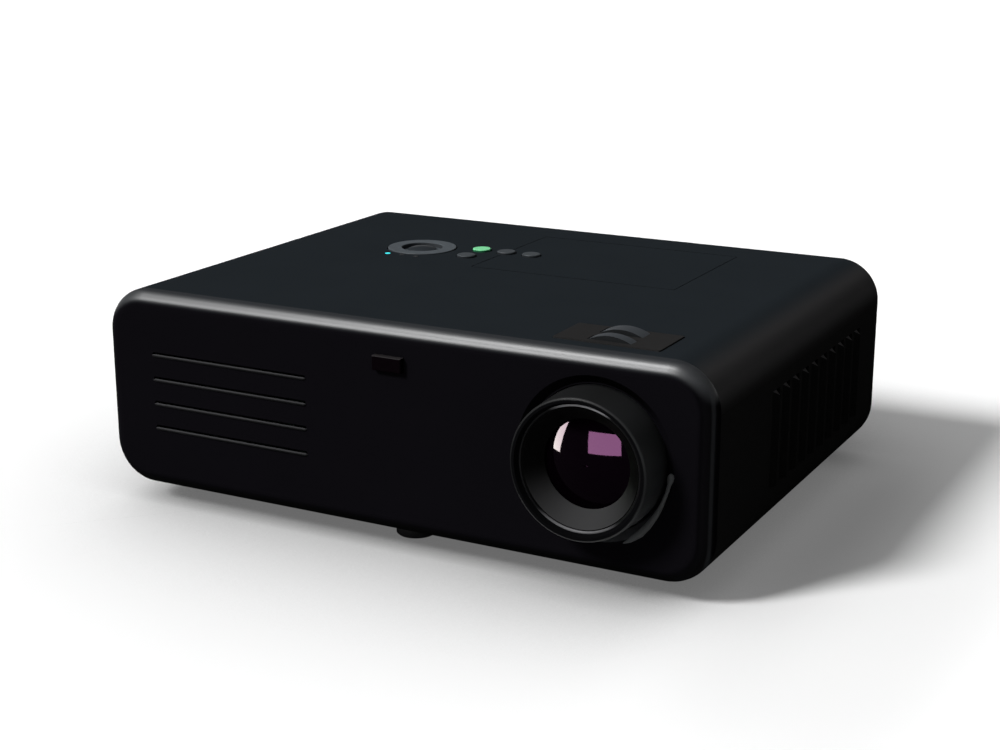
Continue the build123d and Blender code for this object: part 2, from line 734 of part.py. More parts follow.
def top_case():
    """Upper shell with everything that the top, the sides and the back open for."""
    shell = SHELL & block(-SIDE, SIDE, SEAM, REAR, SPLIT, TOP)
    for side in (-1, 1):
        for hood in louvre_hoods(side):
            shell += hood
        for slot in louvre_slots(side):
            shell -= slot
    door_mid = Pos((DOOR_LEFT + DOOR_RIGHT) / 2, (DOOR_FRONT + DOOR_BACK) / 2)
    ledge = door_mid * Rectangle(DOOR_W + 2 * LEDGE_EDGE, DOOR_D + 2 * LEDGE_EDGE)
    shell += upward(ledge, CEILING - LEDGE_T, CEILING)
    shell -= upward(door_outline(-DOOR_GAP), CEILING, TOP)
    shell -= block(BAY_LEFT, BAY_RIGHT, BAY_FRONT, BAY_BACK, CEILING - LEDGE_T, CEILING)
    for x, y in tab_places():
        slot = Pos(x, y) * Rectangle(TAB_L + 2 * SLIP, TAB_T + 2 * SLIP)
        shell -= upward(slot, CEILING - LEDGE_T, CEILING)
    shell -= upward(adjust_outline(-SEAT_GAP), TOP - ADJUST_T + ADJUST_PROUD, TOP)
    for slot in wheel_slots():
        shell -= slot
    for x, y in key_places().values():
        shell += rod_z(x, y, KEY_R + KEY_GUIDE_WALL, CEILING - LEDGE_T, CEILING)
    for x, y in key_places().values():
        shell -= rod_z(x, y, KEY_R + KEY_GAP, CEILING - LEDGE_T, TOP)
    shell -= rod_z(NAV_CX, NAV_CY, NAV_R + NAV_GAP, CEILING, TOP)
    for x, y in light_places():
        shell -= rod_z(x, y, LIGHT_R + FIT, CEILING, TOP)
    for x, y in keypad_posts():
        shell += rod_z(x, y, KEYPAD_POST_R, KEYPAD_TOP, CEILING)
    for x, y in POSTS:
        post = rod_z(x, y, POST_R, SPLIT, CEILING) & across(front_outline(WALL / 2), SEAM, IN_REAR)
        shell += post - rod_z(x, y, SCREW_R + FIT, SPLIT, SCREW_SEAT + CASE_SCREW_L + SLIP)
    shell -= block(IO_X0, IO_X1, IN_REAR - WALL, REAR, IO_Z0, IO_Z1)
    inlet = Rectangle(INLET_W + 2 * SEAT_GAP, INLET_H + 2 * SEAT_GAP)
    shell -= across(Pos(*inlet_centre()) * inlet, IN_REAR - WALL, REAR)
    return shell


def keypad_posts():
    """Pillars that the keypad board hangs from, (x, y)."""
    by_ring = [(NAV_CX - NAV_R - NAV_POST_OUT, NAV_CY + s * NAV_POST_SPREAD) for s in (-1, 1)]
    return by_ring + [(POWER_X + KEY_POST_OUT, KEY_Y + s * KEY_POST_SPREAD) for s in (-1, 1)]


def inlet_centre():
    """Middle of the mains inlet, (x, z)."""
    return (-SIDE + INLET_LEFT + INLET_W / 2, BASE + INLET_LOW + INLET_H / 2)


def lamp_door():
    """Lift-off cover over the lamp, with a round hole for one key and half a hole for the next."""
    door = upward(door_outline(0), CEILING, TOP)
    for name in ("source_key", "auto_key"):
        x, y = key_places()[name]
        door -= rod_z(x, y, KEY_R + KEY_GAP, CEILING, TOP)
    for x, y in tab_places():
        door += upward(Pos(x, y) * Rectangle(TAB_L, TAB_T), CEILING - LEDGE_T - TAB_REACH, CEILING)
    return door


def lens_adjust_plate():
    """Thin escutcheon round the two thumb wheels."""
    plate = upward(adjust_outline(0), TOP + ADJUST_PROUD - ADJUST_T, TOP + ADJUST_PROUD)
    for slot in wheel_slots():
        plate -= slot
    return plate


def ir_window():
    """Dark window over the remote sensor: a proud block with a flange inside the panel."""
    centre = Pos(EYE_X, BASE + EYE_H)
    window = across(centre * Rectangle(EYE_W, EYE_TALL), FRONT - EYE_PROUD, IN_FRONT)
    window = chamfer(window.edges().group_by(Axis.Y)[0], EYE_EDGE)
    flange = Rectangle(EYE_W + 2 * EYE_FLANGE, EYE_TALL + 2 * EYE_FLANGE)
    return window + across(centre * flange, IN_FRONT, IN_FRONT + EYE_FLANGE_T)


def ir_receiver():
    """Remote sensor with a domed eye on its small board, up against the window's flange."""
    z = BASE + EYE_H
    board = across(Pos(EYE_X, z - IR_DROP) * Rectangle(IR_BOARD_W, IR_BOARD_H), IR_SEAT, IR_SEAT + BOARD_T)
    can = across(Pos(EYE_X, z) * Rectangle(IR_CAN_W, IR_CAN_H), IR_SEAT - IR_CAN_T, IR_SEAT)
    dome = Pos(EYE_X, IR_SEAT - IR_DOME_OUT, z) * Sphere(IR_DOME_R)
    return board + can + dome


def nav_ring():
    """Four-way rocker ring with a lower step inside."""
    bore = ENTER_R + ENTER_GAP
    step = TOP - NAV_STEP
    corners = [
        (bore, step), (NAV_HOLE_R, step), (NAV_HOLE_R, TOP + NAV_PROUD), (NAV_R, TOP + NAV_PROUD),
        (NAV_R, NAV_LOW + NAV_FLANGE_T), (NAV_FLANGE_R, NAV_LOW + NAV_FLANGE_T), (NAV_FLANGE_R, NAV_LOW),
        (bore, NAV_LOW),
    ]
    ring = turned_z(NAV_CX, NAV_CY, corners)
    return fillet(ring.edges().filter_by(GeomType.CIRCLE).group_by(Axis.Z)[-1], NAV_ROUND)


def nav_collar():
    """Soft collar that the rocker ring tips on."""
    top = NAV_LOW - 2 * SLIP
    outer = NAV_R - COLLAR_IN
    corners = [
        (NAV_HOLE_R, top - COLLAR_T), (outer, top - COLLAR_T), (outer - COLLAR_TAPER, top), (NAV_HOLE_R, top),
    ]
    return turned_z(NAV_CX, NAV_CY, corners)


def enter_button():
    """Domed centre key with a plunger over its switch."""
    top = TOP + ENTER_PROUD
    rim = TOP - ENTER_RIM_DROP
    ball = (ENTER_R ** 2 + (top - rim) ** 2) / (2 * (top - rim))
    flange = NAV_LOW - 2 * SLIP
    cap = rod_z(NAV_CX, NAV_CY, ENTER_R, flange - ENTER_FLANGE_T, top)
    cap &= Pos(NAV_CX, NAV_CY, top - ball) * Sphere(ball)
    cap += rod_z(NAV_CX, NAV_CY, ENTER_FLANGE_R, flange - ENTER_FLANGE_T, flange)
    return cap + rod_z(NAV_CX, NAV_CY, PLUNGER_R, PLUNGER_LOW, flange)


def round_key(name):
    """One push key: cap, retaining flange below its guide, plunger over its switch."""
    x, y = key_places()[name]
    guide = CEILING - LEDGE_T
    corners = [
        (0, PLUNGER_LOW), (PLUNGER_R, PLUNGER_LOW), (PLUNGER_R, guide - SLIP - KEY_FLANGE_T),
        (KEY_FLANGE_R, guide - SLIP - KEY_FLANGE_T), (KEY_FLANGE_R, guide - SLIP),
        (KEY_R, guide - SLIP), (KEY_R, TOP + KEY_PROUD - KEY_EDGE), (KEY_R - KEY_EDGE, TOP + KEY_PROUD),
        (0, TOP + KEY_PROUD),
    ]
    return turned_z(x, y, corners)


def light_pipe(place):
    """Clear pin from the keypad board up through the top."""
    return rod_z(*place, LIGHT_R, KEYPAD_TOP, TOP + LIGHT_PROUD)


def keypad_board():
    """Board under the keys, with a tact switch below each."""
    x0, x1 = NAV_CX - NAV_R - KEYPAD_NAV_EDGE, POWER_X + 2 * KEY_PITCH + KEYPAD_ARM_END
    y0, y1 = NAV_CY - KEYPAD_FRONT_EDGE, KEY_Y + KEYPAD_BACK_EDGE
    low, half_arm = KEYPAD_TOP - KEYPAD_T, KEYPAD_ARM_W / 2
    board = block(x0, POWER_X + KEY_PITCH, y0, y1, low, KEYPAD_TOP)
    board += block(POWER_X, x1, KEY_Y - half_arm, KEY_Y + half_arm, low, KEYPAD_TOP)
    switch_places = list(key_places().values()) + [(NAV_CX, NAV_CY)]
    for angle in range(0, 360, 90):
        turn = radians(angle)
        switch_places.append((NAV_CX + SWITCH_RING_R * cos(turn), NAV_CY + SWITCH_RING_R * sin(turn)))
    for x, y in switch_places:
        body_top = KEYPAD_TOP + SWITCH_BODY_H
        board += upward(Pos(x, y) * Rectangle(SWITCH_W, SWITCH_W), KEYPAD_TOP, body_top)
        board += rod_z(x, y, SWITCH_CAP_R, body_top, SWITCH_TOP)
    return board


def lens_barrel():
    """Fixed outer barrel, closed at the back by the plate that carries the lens tube and the wheel shaft."""
    corners = [
        (RIM_R, TIP), (BARREL_TIP_R, TIP), (BARREL_R, FRONT), (BARREL_R, PLATE_BACK),
        (TUBE_R + FIT, PLATE_BACK), (TUBE_R + FIT, PLATE_FRONT), (MOUTH_R, PLATE_FRONT), (MOUTH_R, MOUTH),
    ]
    barrel = turned_y(LENS_X, LENS_Z, corners)
    tip_edge = barrel.edges().filter_by(GeomType.CIRCLE).group_by(Axis.Y)[0].sort_by(SortBy.RADIUS)[-1]
    barrel = fillet(tip_edge, RIM_ROUND)
    return barrel - rod_y(WHEEL_X, WHEEL_Z, SHAFT_R + FIT, PLATE_FRONT, PLATE_BACK)


def front_retainer():
    """Ring that holds the front glass: a bright edge, then a cone down to the glass."""
    lip_y = RETAINER_BACK - GLASS_BULGE / 3
    corners = [
        (RETAINER_LIP_R, MOUTH), (CELL_R, MOUTH), (CELL_R, RETAINER_BACK),
        (GLASS_R + SEAT_GAP, RETAINER_BACK),
        (GLASS_R + SEAT_GAP, lip_y + SLIP), (CONE_R, lip_y), (CONE_R, lip_y - SLIP),
    ]
    return turned_y(LENS_X, LENS_Z, corners)


def front_glass():
    glass = bulging_lens(GLASS_R, RETAINER_BACK, GLASS_BACK, GLASS_BULGE)
    return Pos(LENS_X, 0, LENS_Z) * glass


def cam_pin(radius, y, inner, outer):
    """A radial pin below the lens axis."""
    return rod_z(LENS_X, y, radius, LENS_Z - outer, LENS_Z - inner)


def front_cell():
    """Moving cell of the front glass, with a rear sleeve in the lens tube and its cam pin."""
    corners = [
        (CELL_R, RETAINER_BACK), (CELL_R, CELL_BACK), (SLEEVE_R, CELL_BACK + 2), (SLEEVE_R, SLEEVE_BACK),
        (SLEEVE_R - SLEEVE_T, SLEEVE_BACK), (SLEEVE_R - SLEEVE_T, CELL_BACK), (GLASS_R - 2, GLASS_BACK + 2),
        (GLASS_R - 2, GLASS_BACK), (GLASS_R + FIT, GLASS_BACK), (GLASS_R + FIT, RETAINER_BACK),
    ]
    cell = turned_y(LENS_X, LENS_Z, corners)
    return cell + cam_pin(CAM_PIN_R, FOCUS_PIN_Y, SLEEVE_R - 0.4, RING_ROOT_R - SLIP)


def lens_tube():
    """Fixed tube that the two toothed rings turn on, with a collar between them and a slot for each pin."""
    corners = [
        (TUBE_BORE_R, PLATE_FRONT), (TUBE_R, PLATE_FRONT), (TUBE_R, FOCUS_RING_Y1 + SEAT_GAP),
        (RING_ROOT_R - 0.6, FOCUS_RING_Y1 + SEAT_GAP), (RING_ROOT_R - 0.6, ZOOM_RING_Y0 - SEAT_GAP),
        (TUBE_R, ZOOM_RING_Y0 - SEAT_GAP), (TUBE_R, MOUNT_Y1), (TUBE_BORE_R, MOUNT_Y1),
    ]
    tube = turned_y(LENS_X, LENS_Z, corners)
    for y, stroke in ((FOCUS_PIN_Y, FOCUS_STROKE), (ZOOM_PIN_Y, ZOOM_STROKE)):
        reach = CAM_PIN_R + CAM_GAP
        slot = Pos(LENS_X, y) * SlotOverall(2 * (stroke + reach), 2 * reach, rotation=90)
        tube -= upward(slot, LENS_Z - TUBE_R - 1, LENS_Z - TUBE_BORE_R + 3)
    return tube


def tooth(teeth, at):
    """One involute tooth pointing at angle at, from just inside the root circle to the tip."""
    pitch_r = MODULE * teeth / 2
    base_r = pitch_r * cos(PRESSURE)
    root_r = pitch_r - 1.25 * MODULE
    tip_r = pitch_r + MODULE

    def half_angle(r):
        roll = acos(min(1.0, base_r / r))
        spread = (tan(PRESSURE) - PRESSURE) - (tan(roll) - roll)
        return pi / (2 * teeth) + spread - TOOTH_THINNING / (2 * pitch_r)

    radii = [root_r - 0.3, max(root_r, base_r), pitch_r, (pitch_r + tip_r) / 2, tip_r]
    flank = [(r, half_angle(max(r, base_r))) for r in radii]
    points = [(r * cos(a), -r * sin(a)) for r, a in flank]
    points += [(r * cos(a), r * sin(a)) for r, a in reversed(flank)]
    return Rot(0, 0, at) * Polygon(*points, align=None)


def toothed(teeth, middle, count):
    """A gear's face with count of its teeth, spread evenly about the direction middle."""
    face = Circle(MODULE * (teeth / 2 - 1.25))
    for i in range(count):
        face += tooth(teeth, middle + (i - (count - 1) / 2) * 360 / teeth)
    return face


MESH_ANGLE = 90.0 + degrees(asin(WHEEL_OFFSET / GEAR_CENTRES))


def cam_ring(gear_y0, gear_y1, cam_y0, cam_y1, pin_y, stroke):
    """Ring on the lens tube: a toothed part for the thumb wheel and a slanted slot for the cell's pin."""
    centre = Pos(LENS_X, LENS_Z)
    ring = across(centre * toothed(RING_TEETH, MESH_ANGLE, RING_CUT_TEETH), gear_y0, gear_y1)
    ring += rod_y(LENS_X, LENS_Z, RING_ROOT_R, cam_y0, cam_y1)
    ring -= rod_y(LENS_X, LENS_Z, TUBE_R + FIT, min(gear_y0, cam_y0), max(gear_y1, cam_y1))
    steps = 10
    for i in range(steps + 1):
        turn = RING_TURN * (2 * i / steps - 1)
        pin = Pos(0, pin_y + stroke * turn / RING_TURN, -RING_ROOT_R)
        pin *= Cylinder(CAM_PIN_R + CAM_GAP, 2 * (RING_ROOT_R - TUBE_R) + 2)
        ring -= Pos(LENS_X, 0, LENS_Z) * Rot(0, -turn, 0) * pin
    return ring


def focus_ring():
    return cam_ring(FOCUS_GEAR_Y0, FOCUS_RING_Y1, FOCUS_RING_Y0, FOCUS_GEAR_Y0, FOCUS_PIN_Y, FOCUS_STROKE)


def zoom_ring():
    return cam_ring(ZOOM_RING_Y0, ZOOM_GEAR_Y1, ZOOM_GEAR_Y1, ZOOM_RING_Y1, ZOOM_PIN_Y, ZOOM_STROKE)


def thumb_wheel(y0, y1, gear_y0, gear_y1):
    """A thumb wheel: a sector of a disc with a rim and a thinner web, and a short row of teeth below."""
    tip = WHEEL_R * sin(radians(WHEEL_SPREAD)), WHEEL_R * cos(radians(WHEEL_SPREAD))
    left, right = (-tip[0], tip[1]), tip
    sector = make_face([Line((0, 0), left), ThreePointArc(left, (0, WHEEL_R), right), Line(right, (0, 0))])
    web = sector & (Circle(WHEEL_R - 2.4) - Circle(HUB_R + 2.0))
    centre = Pos(WHEEL_X, WHEEL_Z)
    wheel = across(centre * sector, y0, y1)
    wheel -= across(centre * web, y0, y0 + WHEEL_WEB)
    wheel -= across(centre * web, y1 - WHEEL_WEB, y1)
    wheel += rod_y(WHEEL_X, WHEEL_Z, HUB_R, y0, y1)
    wheel += across(centre * toothed(WHEEL_TEETH, MESH_ANGLE - 180, WHEEL_CUT_TEETH), gear_y0, gear_y1)
    return wheel - rod_y(WHEEL_X, WHEEL_Z, SHAFT_R + FIT, y0, y1)


def focus_wheel():
    return thumb_wheel(FOCUS_Y0, FOCUS_Y1, FOCUS_GEAR_Y0 + SEAT_GAP, FOCUS_Y1 - SEAT_GAP)


def zoom_wheel():
    return thumb_wheel(ZOOM_Y0, ZOOM_Y1, ZOOM_Y0 + SEAT_GAP, ZOOM_GEAR_Y1 - SEAT_GAP)


def wheel_shaft():
    """Steel pin that both thumb wheels turn on."""
    shaft = rod_y(WHEEL_X, WHEEL_Z, SHAFT_R, PLATE_FRONT, MOUNT_Y1)
    return shaft


def zoom_cell():
    """Sliding cell of the zoom glass, with its cam pin."""
    y0 = ZOOM_PIN_Y - ZOOM_CELL_FRONT
    y1 = ZOOM_PIN_Y + ZOOM_CELL_BACK
    corners = [
        (TUBE_BORE_R - CAM_GAP, y0), (TUBE_BORE_R - CAM_GAP, y1), (SLEEVE_R - SLEEVE_T, y1),
        (SLEEVE_R - SLEEVE_T, y0),
    ]
    cell = turned_y(LENS_X, LENS_Z, corners)
    return cell + cam_pin(CAM_PIN_R, ZOOM_PIN_Y, SLEEVE_R - 0.4, RING_ROOT_R - SLIP)


def zoom_glass():
    radius = SLEEVE_R - SLEEVE_T - FIT
    y0 = ZOOM_PIN_Y - ZOOM_CELL_FRONT + ZOOM_GLASS_T / 2
    glass = bulging_lens(radius, y0, y0 + ZOOM_GLASS_T, ZOOM_GLASS_BULGE, ZOOM_GLASS_BULGE)
    return Pos(LENS_X, 0, LENS_Z) * glass


def mount_corners():
    """Screw places of the lens mount, (x, z)."""
    x = MOUNT_W / 2 - MOUNT_SCREW_IN
    low, high = LENS_Z - MOUNT_DROP + MOUNT_SCREW_IN, LENS_Z + MOUNT_RISE - MOUNT_SCREW_IN
    return [(LENS_X + s * x, z) for s in (-1, 1) for z in (low, high - 6.0)]


def lens_mount():
    """Plate that carries the tube's rear end and the wheel shaft, screwed to the light engine."""
    tall = MOUNT_DROP + MOUNT_RISE
    middle = LENS_Z + (MOUNT_RISE - MOUNT_DROP) / 2
    plate = across(Pos(LENS_X, middle) * RectangleRounded(MOUNT_W, tall, 4.0), MOUNT_Y0, MOUNT_Y1)
    plate -= rod_y(LENS_X, LENS_Z, TUBE_R + FIT, MOUNT_Y0, MOUNT_Y1)
    plate -= rod_y(WHEEL_X, WHEEL_Z, SHAFT_R + FIT, MOUNT_Y0, MOUNT_Y1)
    for x, z in mount_corners():
        plate -= rod_y(x, z, SCREW_R + 0.1, MOUNT_Y0, MOUNT_Y1)
    return plate


def machine_screw(x, y, z, length, axis):
    """A pan-head screw with a hexagon socket, its head's underside at (x, y, z), shank along axis."""
    body = Cylinder(HEAD_R, HEAD_H, align=(Align.CENTER, Align.CENTER, Align.MAX))
    body += Cylinder(SCREW_R, length, align=(Align.CENTER, Align.CENTER, Align.MIN))
    body -= Pos(0, 0, -HEAD_H) * extrude(RegularPolygon(1.4, 6), 1.2)
    turn = {"up": Rot(0, 0, 0), "down": Rot(180, 0, 0), "back": Rot(-90, 0, 0)}[axis]
    return Pos(x, y, z) * turn * body


def case_screws():
    return [machine_screw(x, y, SCREW_SEAT, CASE_SCREW_L, "up") for x, y in POSTS]


def inner_screws():
    """Four screws through the lens mount and two that hold the lamp down."""
    screws = [machine_screw(x, MOUNT_Y0, z, MOUNT_SCREW_L, "back") for x, z in mount_corners()]
    return screws + [machine_screw(x, y, LAMP_TOP, LAMP_SCREW_L, "down") for x, y in lamp_screw_places()]


def engine_outline(inset):
    """L-shaped plan of the light engine."""
    i = inset
    return Polygon(
        (ARM_X0 + i, ENGINE_Y0 + i), (ENGINE_X1 - i, ENGINE_Y0 + i), (ENGINE_X1 - i, ENGINE_Y1 - i),
        (ENGINE_X0 + i, ENGINE_Y1 - i), (ENGINE_X0 + i, CROSS_Y1 - i), (ARM_X1 - i, CROSS_Y1 - i),
        (ARM_X1 - i, ARM_Y1 - i), (ARM_X0 + i, ARM_Y1 - i), align=None,
    )


TUNNEL_Y0 = MIRROR_Y + 16.0
TUNNEL_Y1 = ARM_Y1 - 1.0
ENGINE_FLOOR = DECK + ENGINE_WALL
LENS_1_Y = MIRROR_Y + 11.0
LENS_2_X = LAMP_X + 22.0
PRISM_SIZE = 18.0
ENGINE_SEATS = [
    (ARM_X0 + 6, ARM_Y1 - 6), (ARM_X0 + 6, ENGINE_Y0 + 6), (ENGINE_X1 - 6, ENGINE_Y0 + 6),
    (ENGINE_X1 - 6, ENGINE_Y1 - 6),
]


def engine_housing():
    """Cast trough of the light engine, with its ports and the pedestals of the optics."""
    trough = upward(engine_outline(0), DECK, ENGINE_TOP)
    trough -= upward(engine_outline(ENGINE_WALL), ENGINE_FLOOR, ENGINE_TOP)
    trough -= rod_y(LENS_X, LENS_Z, TUBE_R - 1, ENGINE_Y0, ENGINE_Y0 + ENGINE_WALL)
    for x, z in mount_corners():
        trough += rod_y(x, z, SCREW_R + SCREW_BOSS, ENGINE_Y0, ENGINE_Y0 + SCREW_BOSS_L)
        trough -= rod_y(x, z, SCREW_R + FIT, ENGINE_Y0, MOUNT_Y0 + MOUNT_SCREW_L + SLIP)
    trough -= rod_y(LAMP_X, LENS_Z, TUNNEL_H, ARM_Y1 - ENGINE_WALL, ARM_Y1)
    chip = Rectangle(CHIP_W + 2 * WINDOW_GAP, CHIP_H + 2 * WINDOW_GAP)
    trough -= across(Pos(LENS_X, LENS_Z) * chip, ENGINE_Y1 - ENGINE_WALL, ENGINE_Y1)
    half = TUNNEL_H / 2
    for y in (TUNNEL_Y0 + 3, TUNNEL_Y1 - 8):
        trough += block(LAMP_X - 6, LAMP_X + 6, y - 1.5, y + 1.5, ENGINE_FLOOR, LENS_Z - half)
    trough += block(LAMP_X - 5, LAMP_X + 5, LENS_1_Y - 2, LENS_1_Y + 2, ENGINE_FLOOR, LENS_Z - RELAY_R)
    trough += block(LENS_2_X - 2, LENS_2_X + 2, MIRROR_Y - 5, MIRROR_Y + 5, ENGINE_FLOOR, LENS_Z - RELAY_R)
    mirror_foot = Pos(LAMP_X, MIRROR_Y, 0) * Rot(0, 0, 45) * Rectangle(2.0, 14)
    trough += upward(mirror_foot, ENGINE_FLOOR, LENS_Z - MIRROR_H / 2)
    prism_half = PRISM_SIZE / 2 - 2
    trough += block(
        LENS_X - prism_half, LENS_X + prism_half, PRISM_Y - prism_half, PRISM_Y + prism_half,
        ENGINE_FLOOR, LENS_Z - PRISM_SIZE / 2,
    )
    return trough


RELAY_R = 9.0
MIRROR_H = 20.0
PRISM_Y = ENGINE_Y1 - ENGINE_WALL - 4.0 - PRISM_SIZE / 2


def engine_cover():
    """Ribbed lid of the light engine."""
    lid = upward(engine_outline(0), ENGINE_TOP, ENGINE_TOP + COVER_T)
    rib_top = ENGINE_TOP + COVER_T + COVER_RIB_H
    for i in range(COVER_RIBS):
        x = ENGINE_X0 + 7.0 + i * COVER_RIB_PITCH
        y0, y1 = ENGINE_Y0 + COVER_RIB_IN, ENGINE_Y1 - COVER_RIB_IN
        lid += block(x, x + COVER_RIB_T, y0, y1, ENGINE_TOP + COVER_T, rib_top)
    return lid


def light_tunnel():
    """Mirrored square tube that evens out the light."""
    half_w, half_h = TUNNEL_W / 2, TUNNEL_H / 2
    tunnel = block(LAMP_X - half_w, LAMP_X + half_w, TUNNEL_Y0, TUNNEL_Y1, LENS_Z - half_h, LENS_Z + half_h)
    half_w, half_h = half_w - TUNNEL_WALL, half_h - TUNNEL_WALL
    return tunnel - block(
        LAMP_X - half_w, LAMP_X + half_w, TUNNEL_Y0, TUNNEL_Y1, LENS_Z - half_h, LENS_Z + half_h
    )


def fold_mirror():
    """Flat mirror that turns the light towards the imaging chip."""
    mirror = Pos(LAMP_X, MIRROR_Y, 0) * Rot(0, 0, 45) * Rectangle(2.0, 18)
    return upward(mirror, LENS_Z - MIRROR_H / 2, LENS_Z + MIRROR_H / 2)


def relay_optics():
    """Two relay lenses, the prism in front of the chip and the fixed rear lens of the tube."""
    lens = bulging_lens(RELAY_R, -1.2, 1.2, 1.6, 1.6)
    first = Pos(LAMP_X, LENS_1_Y, LENS_Z) * lens
    second = Pos(LENS_2_X, MIRROR_Y, LENS_Z) * Rot(0, 0, 90) * lens
    half = PRISM_SIZE / 2
    prism = block(LENS_X - half, LENS_X + half, PRISM_Y - half, PRISM_Y + half, LENS_Z - half, LENS_Z + half)
    rear_y = MOUNT_Y1 - REAR_LENS_BULGE - REAR_LENS_T
    rear = bulging_lens(TUBE_BORE_R - FIT, rear_y, rear_y + REAR_LENS_T, REAR_LENS_BULGE, REAR_LENS_BULGE)
    return [first, second, prism, Pos(LENS_X, 0, LENS_Z) * rear]


def chip_board():
    """Driver board on the back of the engine, with the imaging chip standing in its window."""
    y1 = ENGINE_Y1 + BOARD_T
    board = block(ENGINE_X0 + 4, ENGINE_X1 - 4, ENGINE_Y1, y1, ENGINE_FLOOR, ENGINE_TOP)
    chip = across(Pos(LENS_X, LENS_Z) * Rectangle(CHIP_W, CHIP_H), ENGINE_Y1 - CHIP_T, ENGINE_Y1)
    connector = block(ENGINE_X0 + 8, ENGINE_X0 + 28, y1, y1 + 4, ENGINE_FLOOR + 3, ENGINE_FLOOR + 8)
    return board + chip + connector


def chip_heatsink():
    """Finned block behind the imaging chip."""
    y0 = ENGINE_Y1 + BOARD_T
    half_w = (SINK_FINS - 1) * SINK_PITCH / 2 + SINK_FIN_T / 2
    z0, z1 = LENS_Z - SINK_H / 2, LENS_Z + SINK_H / 2
    sink = block(LENS_X - half_w, LENS_X + half_w, y0, y0 + 3, z0, z1)
    for i in range(SINK_FINS):
        x = LENS_X - half_w + i * SINK_PITCH
        sink += block(x, x + SINK_FIN_T, y0 + 3, y0 + SINK_DEPTH, z0, z1)
    return sink


def colour_wheel():
    """Thin filter disc on its hub."""
    corners = [
        (SPINDLE_R + FIT, DISC_Y0 - 0.8), (6.0, DISC_Y0 - 0.8), (6.0, DISC_Y0), (WHEEL_DISC_R, DISC_Y0),
        (WHEEL_DISC_R, DISC_Y1), (SPINDLE_R + FIT, DISC_Y1),
    ]
    return turned_y(DISC_X, LENS_Z, corners)


def colour_wheel_motor():
    """Flat motor on a bracket that stands on the case floor."""
    y1 = MOTOR_Y0 + MOTOR_L
    motor = rod_y(DISC_X, LENS_Z, MOTOR_R, MOTOR_Y0, y1) + rod_y(DISC_X, LENS_Z, SPINDLE_R, DISC_Y0 - 0.5, y1)
    bracket = block(DISC_X - 7, DISC_X + 7, y1 - 1.2, y1, DECK, LENS_Z)
    foot = block(DISC_X - 7, DISC_X + 7, y1 - 7.0, y1, DECK, DECK + 1.5)
    return motor + bracket + foot


LAMP_X0 = LAMP_X - LAMP_W / 2
LAMP_X1 = LAMP_X + LAMP_W / 2
REFLECTOR_Y0 = LAMP_Y0 + LAMP_WALL


def lamp_housing():
    """Box of the replaceable lamp, open at the front for the beam and slotted at the sides for air."""
    box = block(LAMP_X0, LAMP_X1, LAMP_Y0, LAMP_Y1, DECK, LAMP_TOP)
    w = LAMP_WALL
    box -= block(LAMP_X0 + w, LAMP_X1 - w, LAMP_Y0 + w, LAMP_Y1 - w, DECK + w, LAMP_TOP - w)
    box -= rod_y(LAMP_X, LENS_Z, REFLECTOR_R - 2.5, LAMP_Y0, LAMP_Y0 + w)
    z0, z1 = LENS_Z - LAMP_SLOT_H / 2, LENS_Z + LAMP_SLOT_H / 2
    for i in range(LAMP_SLOTS):
        y = LAMP_Y0 + LAMP_SLOT_FIRST + i * LAMP_SLOT_PITCH
        box -= block(LAMP_X0, LAMP_X1, y, y + LAMP_SLOT_W, z0, z1)
    neck = Circle(NECK_R + NECK_RING) - Circle(NECK_R + FIT)
    back_y = REFLECTOR_Y0 + REFLECTOR_L
    box += across(Pos(LAMP_X, LENS_Z) * neck, back_y + SEAT_GAP, LAMP_Y1 - w)
    for x, y in lamp_screw_places():
        box -= rod_z(x, y, SCREW_R + FIT, LAMP_TOP - w, LAMP_TOP)
    return box


def bowl(radius, neck, depth, y0):
    """Points (radius, y) down the inside of a curved bowl."""
    steps = 6
    shares = [i / steps for i in range(steps + 1)]
    return [(neck + (radius - neck) * sqrt(1 - share ** 2), y0 + depth * share) for share in shares]


def lamp_reflector():
    """Curved glass reflector with an open neck."""
    inner = bowl(REFLECTOR_R - REFLECTOR_T, NECK_R - REFLECTOR_T, REFLECTOR_L - REFLECTOR_T, REFLECTOR_Y0)
    outer = bowl(REFLECTOR_R, NECK_R, REFLECTOR_L, REFLECTOR_Y0)
    neck_end = REFLECTOR_Y0 + REFLECTOR_L + NECK_L
    corners = inner + [(NECK_R - REFLECTOR_T, neck_end), (NECK_R, neck_end)] + outer[::-1]
    return turned_y(LAMP_X, LENS_Z, corners)


def arc_tube():
    """Quartz burner with its bulb at the focus, cemented in the reflector's neck."""
    y0 = REFLECTOR_Y0 + 4.0
    end = REFLECTOR_Y0 + REFLECTOR_L + NECK_L
    tube = rod_y(LAMP_X, LENS_Z, ARC_TUBE_R, y0, end)
    tube += Pos(LAMP_X, REFLECTOR_Y0 + REFLECTOR_L - 12.0, LENS_Z) * Sphere(BULB_R)
    cement = rod_y(LAMP_X, LENS_Z, NECK_R - REFLECTOR_T - FIT, end - 8.0, end + 3.0)
    return tube + cement


def lamp_screw_places():
    return [(x, LAMP_Y1 - LAMP_SCREW_IN) for x in (LAMP_X0 + LAMP_SCREW_IN, LAMP_X1 - LAMP_SCREW_IN)]


FAN_Z = DECK + FAN_SIZE / 2
FAN_X0 = -IN_SIDE + FAN_OFF_WALL
FAN_X1 = FAN_X0 + FAN_T


